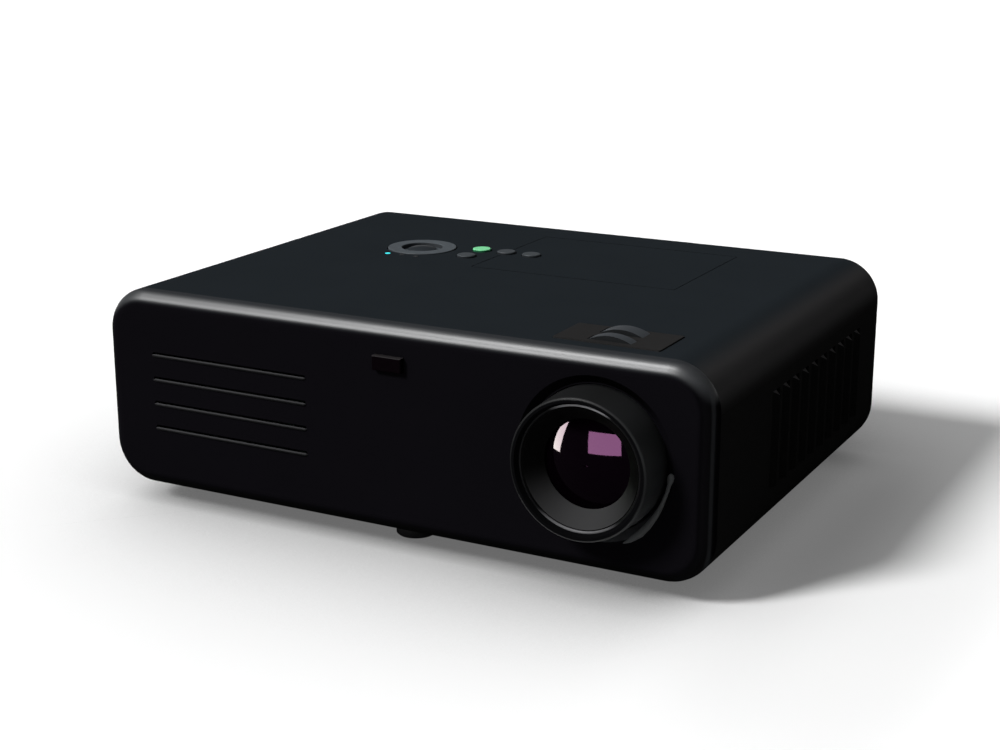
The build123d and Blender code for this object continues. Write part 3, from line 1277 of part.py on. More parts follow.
def exhaust_fan_frame():
    """Square frame with a round duct, corner holes and three spokes to the motor seat."""
    frame = sideways(Pos(FAN_Y, FAN_Z) * RectangleRounded(FAN_SIZE, FAN_SIZE, 4.0), FAN_X0, FAN_X1)
    frame -= rod_x(FAN_Y, FAN_Z, FAN_R, FAN_X0, FAN_X1)
    for y in (-FAN_HOLE_SPREAD, FAN_HOLE_SPREAD):
        for z in (-FAN_HOLE_SPREAD, FAN_HOLE_SPREAD):
            frame -= rod_x(FAN_Y + y, FAN_Z + z, FAN_HOLE_R, FAN_X0, FAN_X1)
    spoke_x1 = FAN_X0 + FAN_SPOKE_T
    for i in range(FAN_SPOKES):
        bar = Pos(FAN_R / 2, 0) * Rectangle(FAN_R + 1, FAN_SPOKE_W)
        spoke = Pos(FAN_Y, FAN_Z) * Rot(0, 0, 90 + 360 * i / FAN_SPOKES) * bar
        frame += sideways(spoke, FAN_X0, spoke_x1)
    frame += rod_x(FAN_Y, FAN_Z, FAN_HUB_R - 1, FAN_X0, spoke_x1)
    return frame + rod_x(FAN_Y, FAN_Z, FAN_SPINDLE_R, spoke_x1, FAN_X1 - 3.0)


def exhaust_fan_rotor():
    """Hub with twisted blades, turning on the frame's spindle."""
    x0, x1 = FAN_X0 + FAN_SPOKE_T + BLADE_GAP, FAN_X1 - 0.5
    hub = rod_x(FAN_Y, FAN_Z, FAN_HUB_R, x0, x1)
    hub -= rod_x(FAN_Y, FAN_Z, FAN_SPINDLE_R + FIT, x0, FAN_X1 - 2.5)
    middle = (x0 + x1) / 2
    span = x1 - x0 - 2.0
    roots = ((FAN_HUB_R - 1.0, 52.0), (FAN_R - BLADE_GAP, 30.0))
    sections = []
    for r, pitch in roots:
        plane = Plane((middle, 0, r), x_dir=(1, 0, 0), z_dir=(0, 0, 1))
        chord = span / sin(radians(pitch))
        sections.append(plane * Rot(0, 0, pitch - 90) * Rectangle(chord * 0.95, 1.2))
    blade = loft(sections)
    blade &= rod_x(0, 0, FAN_R - BLADE_GAP, x0, x1)
    rotor = hub
    for i in range(FAN_BLADES):
        rotor += Pos(0, FAN_Y, FAN_Z) * Rot(360 * i / FAN_BLADES, 0, 0) * blade
    return rotor


BLOWER_X1 = SIDE - BLOWER_RIGHT
BLOWER_X0 = BLOWER_X1 - BLOWER_W
BLOWER_CX = BLOWER_X0 + BLOWER_W / 2 + BLOWER_SHIFT
BLOWER_CY = BLOWER_Y0 + BLOWER_D / 2 + BLOWER_SHIFT
BLOWER_Z1 = DECK + BLOWER_H
BLOWER_IN_Z0 = DECK + BLOWER_WALL
BLOWER_IN_Z1 = BLOWER_Z1 - BLOWER_WALL
BLOWER_PIN_TOP = BLOWER_Z1 - 4.0


def blower_outline(inset):
    """Plan of the snail housing: a round chamber with a straight mouth to the left."""
    chamber = Pos(BLOWER_CX, BLOWER_CY) * Circle(BLOWER_W / 2 - BLOWER_SHIFT - inset)
    y0, y1 = BLOWER_Y0 + inset, BLOWER_Y0 + BLOWER_MOUTH - inset
    mouth = Pos((BLOWER_X0 + BLOWER_CX) / 2, (y0 + y1) / 2) * Rectangle(BLOWER_CX - BLOWER_X0, y1 - y0)
    return chamber + mouth


def blower_housing():
    """Snail-shaped blower that feeds air to the lamp."""
    w = BLOWER_WALL
    case = upward(blower_outline(0), DECK, BLOWER_Z1)
    case -= upward(blower_outline(w), BLOWER_IN_Z0, BLOWER_IN_Z1)
    y0, y1 = BLOWER_Y0 + w, BLOWER_Y0 + BLOWER_MOUTH - w
    case -= block(BLOWER_X0, BLOWER_X0 + 2 * w, y0, y1, BLOWER_IN_Z0, BLOWER_IN_Z1)
    case -= rod_z(BLOWER_CX, BLOWER_CY, BLOWER_R - BLOWER_EYE, BLOWER_IN_Z1, BLOWER_Z1)
    return case + rod_z(BLOWER_CX, BLOWER_CY, FAN_SPINDLE_R, BLOWER_IN_Z0, BLOWER_PIN_TOP)


def blower_impeller():
    """Drum of short curved blades on a dished disc."""
    z0, z1 = BLOWER_IN_Z0 + BLADE_GAP, BLOWER_IN_Z1 - BLADE_GAP
    disc_top = z0 + IMPELLER_DISC_T
    drum = rod_z(BLOWER_CX, BLOWER_CY, BLOWER_R, z0, disc_top)
    drum += rod_z(BLOWER_CX, BLOWER_CY, IMPELLER_HUB_R, z0, z1 - 3.0)
    for i in range(BLOWER_BLADES):
        spot = Rot(0, 0, 360 * i / BLOWER_BLADES) * Pos(BLOWER_R - IMPELLER_BLADE_IN, 0) * Rot(0, 0, 40)
        blade = Rectangle(IMPELLER_BLADE_L, IMPELLER_BLADE_T)
        drum += upward(Pos(BLOWER_CX, BLOWER_CY) * spot * blade, disc_top, z1)
    return drum - rod_z(BLOWER_CX, BLOWER_CY, FAN_SPINDLE_R + FIT, z0, BLOWER_PIN_TOP + SLIP)


PSU_Y1 = REAR - PSU_REAR
PSU_Y0 = PSU_Y1 - PSU_D
PSU_X0 = FAN_X1 + BOARD_GAP / 2
BALLAST_X1 = LAMP_X0 - BOARD_GAP
BALLAST_X0 = BALLAST_X1 - BALLAST_W
PSU_X1 = BALLAST_X0 - BOARD_GAP
MAIN_X0 = PSU_X0
MAIN_X1 = ARM_X0 - MAIN_RIGHT
MAIN_Y0 = FRONT + MAIN_FRONT
MAIN_Y1 = PSU_Y0 - MAIN_BEHIND
BOARD_SEATS = (
    corners_of(MAIN_X0, MAIN_X1, MAIN_Y0, MAIN_Y1, SEAT_IN)
    + corners_of(PSU_X0, PSU_X1, PSU_Y0, PSU_Y1, SEAT_IN)
    + corners_of(BALLAST_X0, BALLAST_X1, PSU_Y0, PSU_Y1, SEAT_IN)
    + [(DISC_X, MOTOR_Y0 + MOTOR_L - 3.5), (LAMP_X0 + 6, LAMP_Y1 - 6), (LAMP_X1 - 6, LAMP_Y1 - 6)]
    + [(LAMP_X, LAMP_Y0 + 6), (BLOWER_CX, BLOWER_CY), (BLOWER_X0 + 5, BLOWER_Y0 + 10)]
    + [((FAN_X0 + FAN_X1) / 2, FAN_Y + side * FAN_SIZE / 3) for side in (-1, 1)]
)
IO_SEATS = [(x, IO_BOARD_Y + BOARD_T / 2) for x in (IO_X0 + IO_SEAT_IN, IO_X1 - IO_SEAT_IN)]


def stacked_on(x, y, z, w, d, h):
    """A block of width w, depth d and height h standing at (x, y, z), its near left corner."""
    return block(x, x + w, y, y + d, z, z + h)


def main_board():
    """Processor board with its finned heatsink, memory chips, connector and capacitors."""
    z = DECK + BOARD_T
    board = block(MAIN_X0, MAIN_X1, MAIN_Y0, MAIN_Y1, DECK, z)
    x, y = (MAIN_X0 + MAIN_X1 - MAIN_SINK_W) / 2, (MAIN_Y0 + MAIN_Y1 - MAIN_SINK_D) / 2
    board += stacked_on(x, y, z, MAIN_SINK_W, MAIN_SINK_D, SINK_BASE)
    fins = 6
    for i in range(fins):
        step = (MAIN_SINK_W - SINK_FIN_T) / (fins - 1)
        board += stacked_on(x + i * step, y, z + SINK_BASE, SINK_FIN_T, MAIN_SINK_D, MAIN_SINK_H - SINK_BASE)
    for low in (MAIN_Y0 + CHIP_SIZE / 2, MAIN_Y1 - 1.5 * CHIP_SIZE):
        board += stacked_on(MAIN_X1 - 2 * CHIP_SIZE, low, z, CHIP_SIZE, CHIP_SIZE, BOARD_T)
    header = MAIN_Y1 - 2 * BOARD_GAP
    board += block(MAIN_X0 + 3 * SMALL_CAP_R, x, header, header + BOARD_GAP, z, z + HEADER_H)
    for i in range(3):
        y = MAIN_Y0 + (i + 1) * 3 * SMALL_CAP_R
        board += rod_z(MAIN_X0 + 3 * SMALL_CAP_R, y, SMALL_CAP_R, z, z + SMALL_CAP_H)
    return board


def power_supply():
    """Mains board: reservoir capacitors, transformer, choke and two heatsink plates."""
    z = DECK + BOARD_T
    board = block(PSU_X0, PSU_X1, PSU_Y0, PSU_Y1, DECK, z)
    low = PSU_Y0 + 2 * BOARD_GAP
    board += stacked_on((PSU_X0 + PSU_X1 - COIL_W) / 2, low, z, COIL_W, COIL_W, COIL_H)
    for x in (PSU_X0 + 2 * BOARD_GAP, PSU_X1 - 2 * BOARD_GAP - PLATE_SINK_T):
        board += stacked_on(x, low, z, PLATE_SINK_T, PLATE_SINK_L, PLATE_SINK_H)
    behind = low + PLATE_SINK_L + BIG_CAP_R + BOARD_GAP / 2
    for i in range(2):
        board += rod_z(PSU_X0 + BOARD_GAP + BIG_CAP_R * (1 + 2.5 * i), behind, BIG_CAP_R, z, z + BIG_CAP_H)
    return board + rod_z(PSU_X1 - BOARD_GAP - MID_CAP_R, behind, MID_CAP_R, z, z + MID_CAP_H)


def lamp_ballast():
    """Lamp driver board: igniter coil, capacitors and a heatsink plate."""
    z = DECK + BOARD_T
    board = block(BALLAST_X0, BALLAST_X1, PSU_Y0, PSU_Y1, DECK, z)
    middle = (BALLAST_X0 + BALLAST_X1) / 2
    low = PSU_Y0 + 2 * BOARD_GAP
    board += stacked_on(middle - COIL_W / 2, low, z, COIL_W, COIL_W, COIL_H)
    behind = low + COIL_W + MID_CAP_R + BOARD_GAP / 2
    for side in (-1, 1):
        board += rod_z(middle + side * 1.3 * MID_CAP_R, behind, MID_CAP_R, z, z + MID_CAP_H)
    plate_y = behind + MID_CAP_R + BOARD_GAP / 2
    plate_w = BALLAST_W - 2 * BOARD_GAP
    return board + stacked_on(BALLAST_X0 + BOARD_GAP, plate_y, z, plate_w, PLATE_SINK_T, MID_CAP_H)


def ac_inlet():
    """Mains inlet with three flat pins in a six-sided cavity, held by a flange behind the wall."""
    x, z = inlet_centre()
    y1 = REAR - INLET_SUNK
    y0 = y1 - INLET_DEPTH
    body = across(Pos(x, z) * Rectangle(INLET_W, INLET_H), y0, y1)
    flange = Rectangle(INLET_W + 2 * INLET_FLANGE, INLET_H + 2 * INLET_FLANGE)
    body += across(Pos(x, z) * flange, IN_REAR - INLET_FLANGE_T, IN_REAR)
    w, h, b = INLET_W / 2 - INLET_WALL, INLET_H / 2 - INLET_WALL, INLET_BEVEL
    cavity = Polygon((-w, -h), (w, -h), (w, h - b), (w - b, h), (b - w, h), (-w, h - b), align=None)
    body -= across(Pos(x, z) * cavity, y0 + INLET_FLOOR, y1)
    for dx, dz in ((-PIN_SPREAD, 0.5), (PIN_SPREAD, 0.5), (0.0, 4.0)):
        body += across(Pos(x + dx, z + dz) * Rectangle(PIN_W, PIN_H), y0 + INLET_FLOOR - 1, REAR - PIN_SUNK)
    return body


def io_plate():
    """Socket plate against the inside of the rear wall."""
    x0, x1 = IO_X0 - IO_MARGIN, IO_X1 + IO_MARGIN
    z0, z1 = IO_Z0 - IO_MARGIN, IO_Z1 + IO_MARGIN
    middle = Pos((x0 + x1) / 2, (z0 + z1) / 2)
    plate = across(middle * RectangleRounded(x1 - x0, z1 - z0, 1.5), IN_REAR - IO_T, IN_REAR)
    for shape in socket_shapes().values():
        plate -= across(offset(shape, SEAT_GAP), IN_REAR - IO_T, IN_REAR)
    return plate


def socket_shapes():
    """Outline of each socket where it passes through the plate, (x, z)."""
    z = IO_Z0 + SOCKET_Z
    return {
        "vga_in": Pos(IO_X0 + VGA_IN_X, z) * RectangleRounded(VGA_W, VGA_H, 2.0),
        "vga_out": Pos(IO_X0 + VGA_OUT_X, z) * RectangleRounded(VGA_W, VGA_H, 2.0),
        "s_video": Pos(IO_X0 + S_VIDEO_X, z) * Circle(S_VIDEO_R),
        "composite": Pos(IO_X0 + COMPOSITE_X, z) * Circle(COMPOSITE_R),
        "audio": Pos(IO_X0 + AUDIO_X, z) * Circle(AUDIO_R),
        "usb": Pos(IO_X0 + USB_X, z) * Rectangle(USB_W, USB_H),
    }


def io_board():
    """Upright board that carries the sockets."""
    x0, x1 = IO_X0 + IO_BOARD_IN, IO_X1 - IO_BOARD_IN
    z0, z1 = IO_Z0 + IO_BOARD_RISE, IO_Z1 + IO_BOARD_IN
    board = block(x0, x1, IO_BOARD_Y, IO_BOARD_Y + BOARD_T, z0, z1)
    board += block(IO_X0 + 20, IO_X0 + 60, IO_BOARD_Y - 6, IO_BOARD_Y, IO_Z0 + 4, IO_Z0 + 9)
    return board


def vga_sockets():
    """Two fifteen-way sockets: bodies, D-shaped shells and jack posts."""
    sockets = []
    for name in ("vga_in", "vga_out"):
        shape = socket_shapes()[name]
        body = across(shape, IO_BOARD_Y + BOARD_T, IN_REAR + 0.5)
        x, z = shape.center().X, shape.center().Y
        d_shape = Polygon((-8.3, 3.9), (8.3, 3.9), (7.0, -3.9), (-7.0, -3.9), align=None)
        shell = across(Pos(x, z) * d_shape, IN_REAR + 0.5, SOCKET_FACE)
        for row, shift in ((2.0, 0.0), (0.0, -1.1), (-2.0, 0.0)):
            for i in range(5):
                shell -= rod_y(x + (i - 2) * 2.3 + shift, z + row, 0.55, SOCKET_FACE - 1.0, SOCKET_FACE)
        body += shell
        for side in (-1, 1):
            post = across(Pos(x + side * 12.5, z) * RegularPolygon(2.6, 6), IN_REAR + 0.5, SOCKET_FACE)
            body += post - rod_y(x + side * 12.5, z, 1.3, SOCKET_FACE - 1.0, SOCKET_FACE)
        sockets.append(body)
    return sockets


def av_sockets():
    """Mini-DIN, phono, jack and USB sockets."""
    shapes = socket_shapes()
    back = IO_BOARD_Y + BOARD_T
    z = IO_Z0 + SOCKET_Z
    s_video = across(shapes["s_video"], back, SOCKET_FACE)
    x = IO_X0 + S_VIDEO_X
    for dx, dz in ((-2.2, 1.0), (2.2, 1.0), (-1.6, -2.0), (1.6, -2.0)):
        s_video -= rod_y(x + dx, z + dz, 0.7, SOCKET_FACE - 1.5, SOCKET_FACE)
    composite = across(shapes["composite"], back, SOCKET_FACE)
    groove = Circle(3.4) - Circle(2.4)
    composite -= across(Pos(IO_X0 + COMPOSITE_X, z) * groove, SOCKET_FACE - 3, SOCKET_FACE)
    composite -= rod_y(IO_X0 + COMPOSITE_X, z, 1.6, SOCKET_FACE - 6, SOCKET_FACE)
    audio = across(shapes["audio"], back, SOCKET_FACE)
    audio -= rod_y(IO_X0 + AUDIO_X, z, AUDIO_R / 2, SOCKET_FACE - 9, SOCKET_FACE)
    usb = across(shapes["usb"], back, SOCKET_FACE)
    ring = Rectangle(8.6, 7.6) - Rectangle(5.6, 3.4)
    usb -= across(Pos(IO_X0 + USB_X, z) * ring, SOCKET_FACE - 5, SOCKET_FACE)
    return [s_video, composite, audio, usb]


def speaker():
    """Round loudspeaker facing the front slots."""
    y = IN_FRONT + SPEAKER_SEAT
    corners = [
        (0, y + 3.0), (4.0, y + 2.2), (SPEAKER_R - 3.0, y + 0.8), (SPEAKER_R - 1.0, y), (SPEAKER_R, y),
        (SPEAKER_R, y + 1.6), (MAGNET_R, y + 7.0), (MAGNET_R, y + MAGNET_BACK),
        (0, y + MAGNET_BACK),
    ]
    return turned_y(-SPEAKER_X, LENS_Z, corners)


def front_foot():
    """Screw foot: a pad with a grip ring, and a stem in the case's boss."""
    corners = [
        (0, 0), (FOOT_R - 0.6, 0), (FOOT_R, 0.6), (FOOT_R, FOOT_PAD_H - 1.2), (FOOT_R - 1.2, FOOT_PAD_H),
        (FOOT_STEM_R, FOOT_PAD_H), (FOOT_STEM_R, FOOT_PAD_H + FOOT_STEM_H - 0.8),
        (FOOT_STEM_R - 0.8, FOOT_PAD_H + FOOT_STEM_H), (0, FOOT_PAD_H + FOOT_STEM_H),
    ]
    return turned_z(0, FOOT_Y, corners)


def rear_feet():
    """Two rubber pads with pegs."""
    corners = [
        (0, 0), (FOOT_R - 0.6, 0), (FOOT_R - 0.1, 0.6), (FOOT_R - 0.1, REAR_PAD_H), (PEG_R, REAR_PAD_H),
        (PEG_R, REAR_PAD_H + PEG_H), (0, REAR_PAD_H + PEG_H),
    ]
    return [turned_z(x, REAR_FOOT_Y, corners) for x in (-REAR_FOOT_X, REAR_FOOT_X)]


def ceiling_inserts():
    """Four threaded metal bushes in the underside, for a ceiling mount."""
    bush = Circle(INSERT_R) - Circle(INSERT_BORE_R)
    return [upward(Pos(x, y) * bush, BASE, BASE + INSERT_L) for x, y in INSERTS]


def key_maker(name):
    return lambda: round_key(name)


MAKERS = {
    "bottom_case": bottom_case,
    "top_case": top_case,
    "front_panel": front_panel,
    "io_plate": io_plate,
    "lamp_door": lamp_door,
    "lens_adjust_plate": lens_adjust_plate,
    "ir_window": ir_window,
    "ir_receiver": ir_receiver,
    "nav_ring": nav_ring,
    "nav_collar": nav_collar,
    "enter_button": enter_button,
    "menu_key": key_maker("menu_key"),
    "power_key": key_maker("power_key"),
    "source_key": key_maker("source_key"),
    "auto_key": key_maker("auto_key"),
    "power_light": lambda: light_pipe(light_places()[0]),
    "status_lights": lambda: [light_pipe(place) for place in light_places()[1:]],
    "keypad_board": keypad_board,
    "lens_barrel": lens_barrel,
    "front_retainer": front_retainer,
    "front_glass": front_glass,
    "front_cell": front_cell,
    "lens_tube": lens_tube,
    "focus_ring": focus_ring,
    "zoom_ring": zoom_ring,
    "focus_wheel": focus_wheel,
    "zoom_wheel": zoom_wheel,
    "wheel_shaft": wheel_shaft,
    "zoom_cell": zoom_cell,
    "zoom_glass": zoom_glass,
    "lens_mount": lens_mount,
    "inner_screws": inner_screws,
    "engine_housing": engine_housing,
    "engine_cover": engine_cover,
    "light_tunnel": light_tunnel,
    "fold_mirror": fold_mirror,
    "relay_optics": relay_optics,
    "chip_board": chip_board,
    "chip_heatsink": chip_heatsink,
    "colour_wheel": colour_wheel,
    "colour_wheel_motor": colour_wheel_motor,
    "lamp_housing": lamp_housing,
    "lamp_reflector": lamp_reflector,
    "arc_tube": arc_tube,
    "exhaust_fan_frame": exhaust_fan_frame,
    "exhaust_fan_rotor": exhaust_fan_rotor,
    "blower_housing": blower_housing,
    "blower_impeller": blower_impeller,
    "main_board": main_board,
    "power_supply": power_supply,
    "lamp_ballast": lamp_ballast,
    "ac_inlet": ac_inlet,
    "io_board": io_board,
    "vga_sockets": vga_sockets,
    "av_sockets": av_sockets,
    "speaker": speaker,
    "front_foot": front_foot,
    "rear_feet": rear_feet,
    "case_screws": case_screws,
    "ceiling_inserts": ceiling_inserts,
}


def main():
    os.makedirs("parts", exist_ok=True)
    for name, maker in MAKERS.items():
        shape = maker()
        if isinstance(shape, list):
            shape = Compound(children=shape)
        export_step(shape, f"parts/{name}.step")


main()
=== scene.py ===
"""Studio scene of a small front-lens projector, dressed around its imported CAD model."""

import json
import math

import bpy
from mathutils import Matrix, Vector


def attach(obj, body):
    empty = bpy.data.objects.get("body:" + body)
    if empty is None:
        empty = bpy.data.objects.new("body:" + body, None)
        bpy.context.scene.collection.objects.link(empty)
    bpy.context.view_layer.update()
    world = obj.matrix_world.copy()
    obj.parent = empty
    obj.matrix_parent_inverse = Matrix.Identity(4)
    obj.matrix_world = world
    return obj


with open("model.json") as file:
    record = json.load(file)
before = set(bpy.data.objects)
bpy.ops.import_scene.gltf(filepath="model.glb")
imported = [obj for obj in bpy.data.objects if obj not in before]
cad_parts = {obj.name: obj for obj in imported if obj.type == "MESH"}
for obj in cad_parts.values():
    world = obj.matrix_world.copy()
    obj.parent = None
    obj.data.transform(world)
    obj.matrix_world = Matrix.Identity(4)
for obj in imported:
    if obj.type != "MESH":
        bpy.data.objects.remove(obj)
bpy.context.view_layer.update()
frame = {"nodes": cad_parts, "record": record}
nodes = frame["nodes"]

# Lengths are in metres, and colours are linear.

# Camera: where it stands, and how it is turned and dipped from straight ahead along +Y.
CAMERA_AT = (0.33103, -0.62278, 0.24821)
CAMERA_TURN = math.radians(28.01)
CAMERA_DIP = math.radians(16.0)
CAMERA_CLIP = (0.01, 200.0)
LENS_MM = 63.45
SENSOR_MM = 36.0

# Front panel: its face, the lens axis, and the lower lips of its four slots.
FRONT_Y = -0.0926
LENS_X = 0.086
LENS_Z = 0.0503
SLOT_LEFT = -0.107
SLOT_RIGHT = -0.0344
SLOT_LIPS_Z = (0.03287, 0.04295, 0.0530, 0.06313)
LIP_R = 0.00062
LIP_TAPER = 0.001

# Bead round the lens's mouth, with a point every few degrees.
MOUTH_Y = -0.1043
BEAD_RING_R = 0.02295
BEAD_R = 0.00055
BEAD_STEP = 5

# Bead in the dish round the lens: angle in degrees, distance from the axis, radius.
DISH_BEAD_Y = FRONT_Y + 0.0003
DISH_BEAD = (
    (-69.0, 0.0315, 0.0002),
    (-62.4, 0.0311, 0.0009),
    (-53.3, 0.0305, 0.0014),
    (-44.7, 0.0298, 0.0013),
    (-35.9, 0.0293, 0.0011),
    (-26.3, 0.0289, 0.0008),
    (-16.4, 0.0288, 0.00065),
    (-9.2, 0.0290, 0.0007),
    (-6.0, 0.02915, 0.0012),
    (-3.5, 0.0293, 0.0013),
    (-1.5, 0.0294, 0.0007),
)

# Sides of the added tubes: the thin ones, and the thicker one in the dish.
THIN_SIDES = 12
DISH_SIDES = 16

# Sizes of surface features: cloudy colour, patchy gloss, and the grain of plastic and of rubber.
CLOUD = 0.03
PATCH = 0.012
FINE_GRAIN = 0.00035
LEATHER_GRAIN = 0.0009

# The range that most of a noise lies in, and how roughness drifts: either way, and as factors on metal.
NOISE_MIDDLE = (0.3, 0.7)
GLOSS_DRIFT = 0.04
METAL_DRIFT = (0.8, 1.25)

# Where colours and gloss change, as ranges of the unit normal: X to the right, Y back, Z up. The colour
# changes are painted light and shade, by which way a surface faces.
PAINTED_TOP_LIGHT_Z = (0.05, 0.85)
FLAT_ANY = (0.86, 0.999)
CASE_TOP_Z = (0.72, 0.99)
CASE_SHOULDER_HIGHLIGHT_Z = (0.0, 0.48)
CASE_REVEAL_SHADE_Y = (-0.6, -0.2)
PANEL_SHADED_UNDER_Z = (-0.6, -0.05)
PANEL_LEFT_X = (-0.75, -0.25)
PANEL_RIGHT_X = (0.1, 0.3)
PANEL_SHOULDER_HIGHLIGHT_Z = (0.16, 0.62)
PANEL_SATIN_Z = (0.2, 0.6)
BARREL_LIT_RIGHT_X = (0.1, 0.8)
BARREL_FACE_Y = (0.93, 0.995)

# Painted highlight, a pale line on the front panel's right-hand edge: where it fades in and out, by the
# normal's X.
EDGE_HIGHLIGHT_X = (0.72, 0.82, 0.86, 0.94)

# Worn parts of the barrel and painted highlights on the mouth's bead, by height over the lens axis.
BARREL_LOW = (-0.026, -0.004)
BARREL_HIGH = (0.0, 0.010)
BEAD_LOW_HIGHLIGHT = (-0.0225, -0.0160)
BEAD_HIGH_HIGHLIGHT = (0.0195, 0.0226)

# How strongly the bead's painted highlights show, from cloud to cloud.
BEAD_CLOUD = (0.85, 1.0)

# Distance outward from the lens axis over which the barrel's mouth becomes its outside.
BARREL_OUTER = (0.0, 0.006)

# How far the barrel is worn: below, at the axis, and what is added above it.
WEAR_LOW = 1.0
WEAR_AXIS = 0.15
WEAR_HIGH = 0.22

# How the panel's satin grows from its face to its shoulder.
SATIN_FROM_TO = (0.03, 1.0)

# Painted shade and painted highlights, as factors of a material's own colour.
REVEAL_SHADE = 0.3
PANEL_EDGE_SHADE = 0.55
EDGE_HIGHLIGHT_FACTOR = 0.62
BARREL_LEFT_SHADE = 0.75
BARREL_RIGHT_HIGHLIGHT = 2.3

# Clear coats: the satin on the front panel's shoulder and on the barrel's rim.
SHOULDER_ROUGHNESS = 0.40
RIM_ROUGHNESS = 0.55
COAT_IOR = 1.5

# Coated glass: the dark behind it, its reflection as a share of bare glass's, its tint, and smears.
GLASS_COLOUR = (0.0008, 0.0002, 0.0008)
GLASS_SPECULAR = 0.02
GLASS_TINT = (0.85, 0.42, 0.85, 1.0)
SMEAR_NOISE = (0.35, 0.75)
SMEAR_ROUGHNESS = (0.02, 0.05)

# The noise over which a circuit board's specks come up.
SPECK_NOISE = (0.52, 0.56)

# Floor: its half width, how far its painted shade near the case reaches and where that fades out to the
# right, and how pale it is to light that bounces.
FLOOR_HALF = 60.0
PAINTED_SHADE_REACH = 0.16
PAINTED_SHADE_X = (0.10, 0.18)
FLOOR_BOUNCE = 0.35

# Painted light: a glow that keeps the shadow pale, and where it is dimmer, which paints the shadow
# darker: right of the case and behind it.
SHADOW_FLOOR = 0.14
BESIDE_X = (0.11, 0.17, 0.19, 0.25)
BESIDE_Y = (-0.25, -0.12, 0.19, 0.25)
BESIDE_SHARE = 0.2
BEHIND_X = (0.04, 0.10, 0.19, 0.25)
BEHIND_Y = (0.06, 0.13, 0.19, 0.25)
BEHIND_SHARE = 0.1

# World: light from the left and right, and how a mirrored sky dims from the horizon up.
AMBIENT_LEFT_RIGHT = (0.62, 0.06)
HORIZON_Z = (0.01, 0.14)
HORIZON_ABOVE = (1.0, 0.06)

# Power of an area lamp for each square metre and each unit of radiance.
AREA_LAMP_POWER = 4.0

BLACK = (0.0, 0.0, 0.0)
WHITE = (1.0, 1.0, 1.0)
EVEN = (1.0, 1.0, 1.0)


# Node helpers.


def add(tree, kind, inputs=None, **settings):
    """One shader node: settings are its properties, inputs are values or sockets to link."""
    made = tree.nodes.new(kind)
    for key, value in settings.items():
        setattr(made, key, value)
    for key, value in (inputs or {}).items():
        if isinstance(value, bpy.types.NodeSocket):
            tree.links.new(value, made.inputs[key])
        else:
            made.inputs[key].default_value = value
    return made


def maths(tree, operation, *values):
    return add(tree, "ShaderNodeMath", dict(enumerate(values)), operation=operation).outputs[0]


def vector_maths(tree, operation, *values):
    """What a vector calculation gives: a number for DOT_PRODUCT, or else a vector."""
    made = add(tree, "ShaderNodeVectorMath", dict(enumerate(values)), operation=operation)
    return made.outputs["Value" if operation == "DOT_PRODUCT" else "Vector"]


def times(tree, first, second):
    return maths(tree, "MULTIPLY", first, second)


def plus(tree, first, second):
    return maths(tree, "ADD", first, second)


def spread(tree, value, low, high, out_low, out_high):
    """Value from low..high taken smoothly to out_low..out_high."""
    sockets = {"Value": value, "From Min": low, "From Max": high, "To Min": out_low, "To Max": out_high}
    return add(tree, "ShaderNodeMapRange", sockets, interpolation_type="SMOOTHSTEP").outputs["Result"]


def rise(tree, value, start, end):
    """0 up to start, and 1 from end on."""
    return spread(tree, value, start, end, 0.0, 1.0)


def fall(tree, value, start, end):
    """1 up to start, and 0 from end on."""
    return spread(tree, value, start, end, 1.0, 0.0)


def hill(tree, value, foot, top, far_top, far_foot):
    """0 below foot, 1 from top to far_top, and 0 again past far_foot."""
    return times(tree, rise(tree, value, foot, top), fall(tree, value, far_top, far_foot))


def parts_of(tree, vector):
    """Outputs X, Y and Z of a vector."""
    return add(tree, "ShaderNodeSeparateXYZ", {"Vector": vector}).outputs


def normal_parts(tree):
    """X, Y and Z of the surface's unit normal: Z is 1 on a top, 0 on a wall and -1 underneath."""
    return parts_of(tree, add(tree, "ShaderNodeNewGeometry").outputs["Normal"])


def flatness(tree):
    """1 where the surface squarely faces an axis, 0 on rounded edges."""
    normal = add(tree, "ShaderNodeNewGeometry").outputs["Normal"]
    parts = parts_of(tree, vector_maths(tree, "ABSOLUTE", normal))
    first = maths(tree, "MAXIMUM", parts["X"], parts["Y"])
    return rise(tree, maths(tree, "MAXIMUM", first, parts["Z"]), *FLAT_ANY)


def mix_values(tree, factor, first, second):
    return add(tree, "ShaderNodeMix", {"Factor": factor, "A": first, "B": second}).outputs["Result"]


def mix_colours(tree, factor, first, second):
    made = add(tree, "ShaderNodeMix", data_type="RGBA")
    for name, value in (("Factor_Float", factor), ("A_Color", first), ("B_Color", second)):
        socket = next(s for s in made.inputs if s.identifier == name)
        if isinstance(value, bpy.types.NodeSocket):
            tree.links.new(value, socket)
        else:
            socket.default_value = (*value, 1.0)
    return next(s for s in made.outputs if s.identifier == "Result_Color")


def noise(tree, size, detail, stretch=EVEN):
    """Noise whose features are about size metres across, fixed to the piece."""
    where = add(tree, "ShaderNodeTexCoord").outputs["Object"]
    scaled = add(tree, "ShaderNodeMapping", {"Vector": where, "Scale": stretch}).outputs["Vector"]
    sockets = {"Vector": scaled, "Scale": 1.0 / size, "Detail": detail}
    return add(tree, "ShaderNodeTexNoise", sockets).outputs["Fac"]


# Material helpers.


def new_material(name, colour, roughness, specular, metallic=0.0):
    made = bpy.data.materials.new(name)
    made.use_nodes = True
    shader = made.node_tree.nodes["Principled BSDF"]
    shader.inputs["Base Color"].default_value = (*colour, 1.0)
    shader.inputs["Roughness"].default_value = roughness
    shader.inputs["Specular IOR Level"].default_value = specular
    shader.inputs["Metallic"].default_value = metallic
    made.diffuse_color = (*colour, 1.0)
    return made, made.node_tree, shader


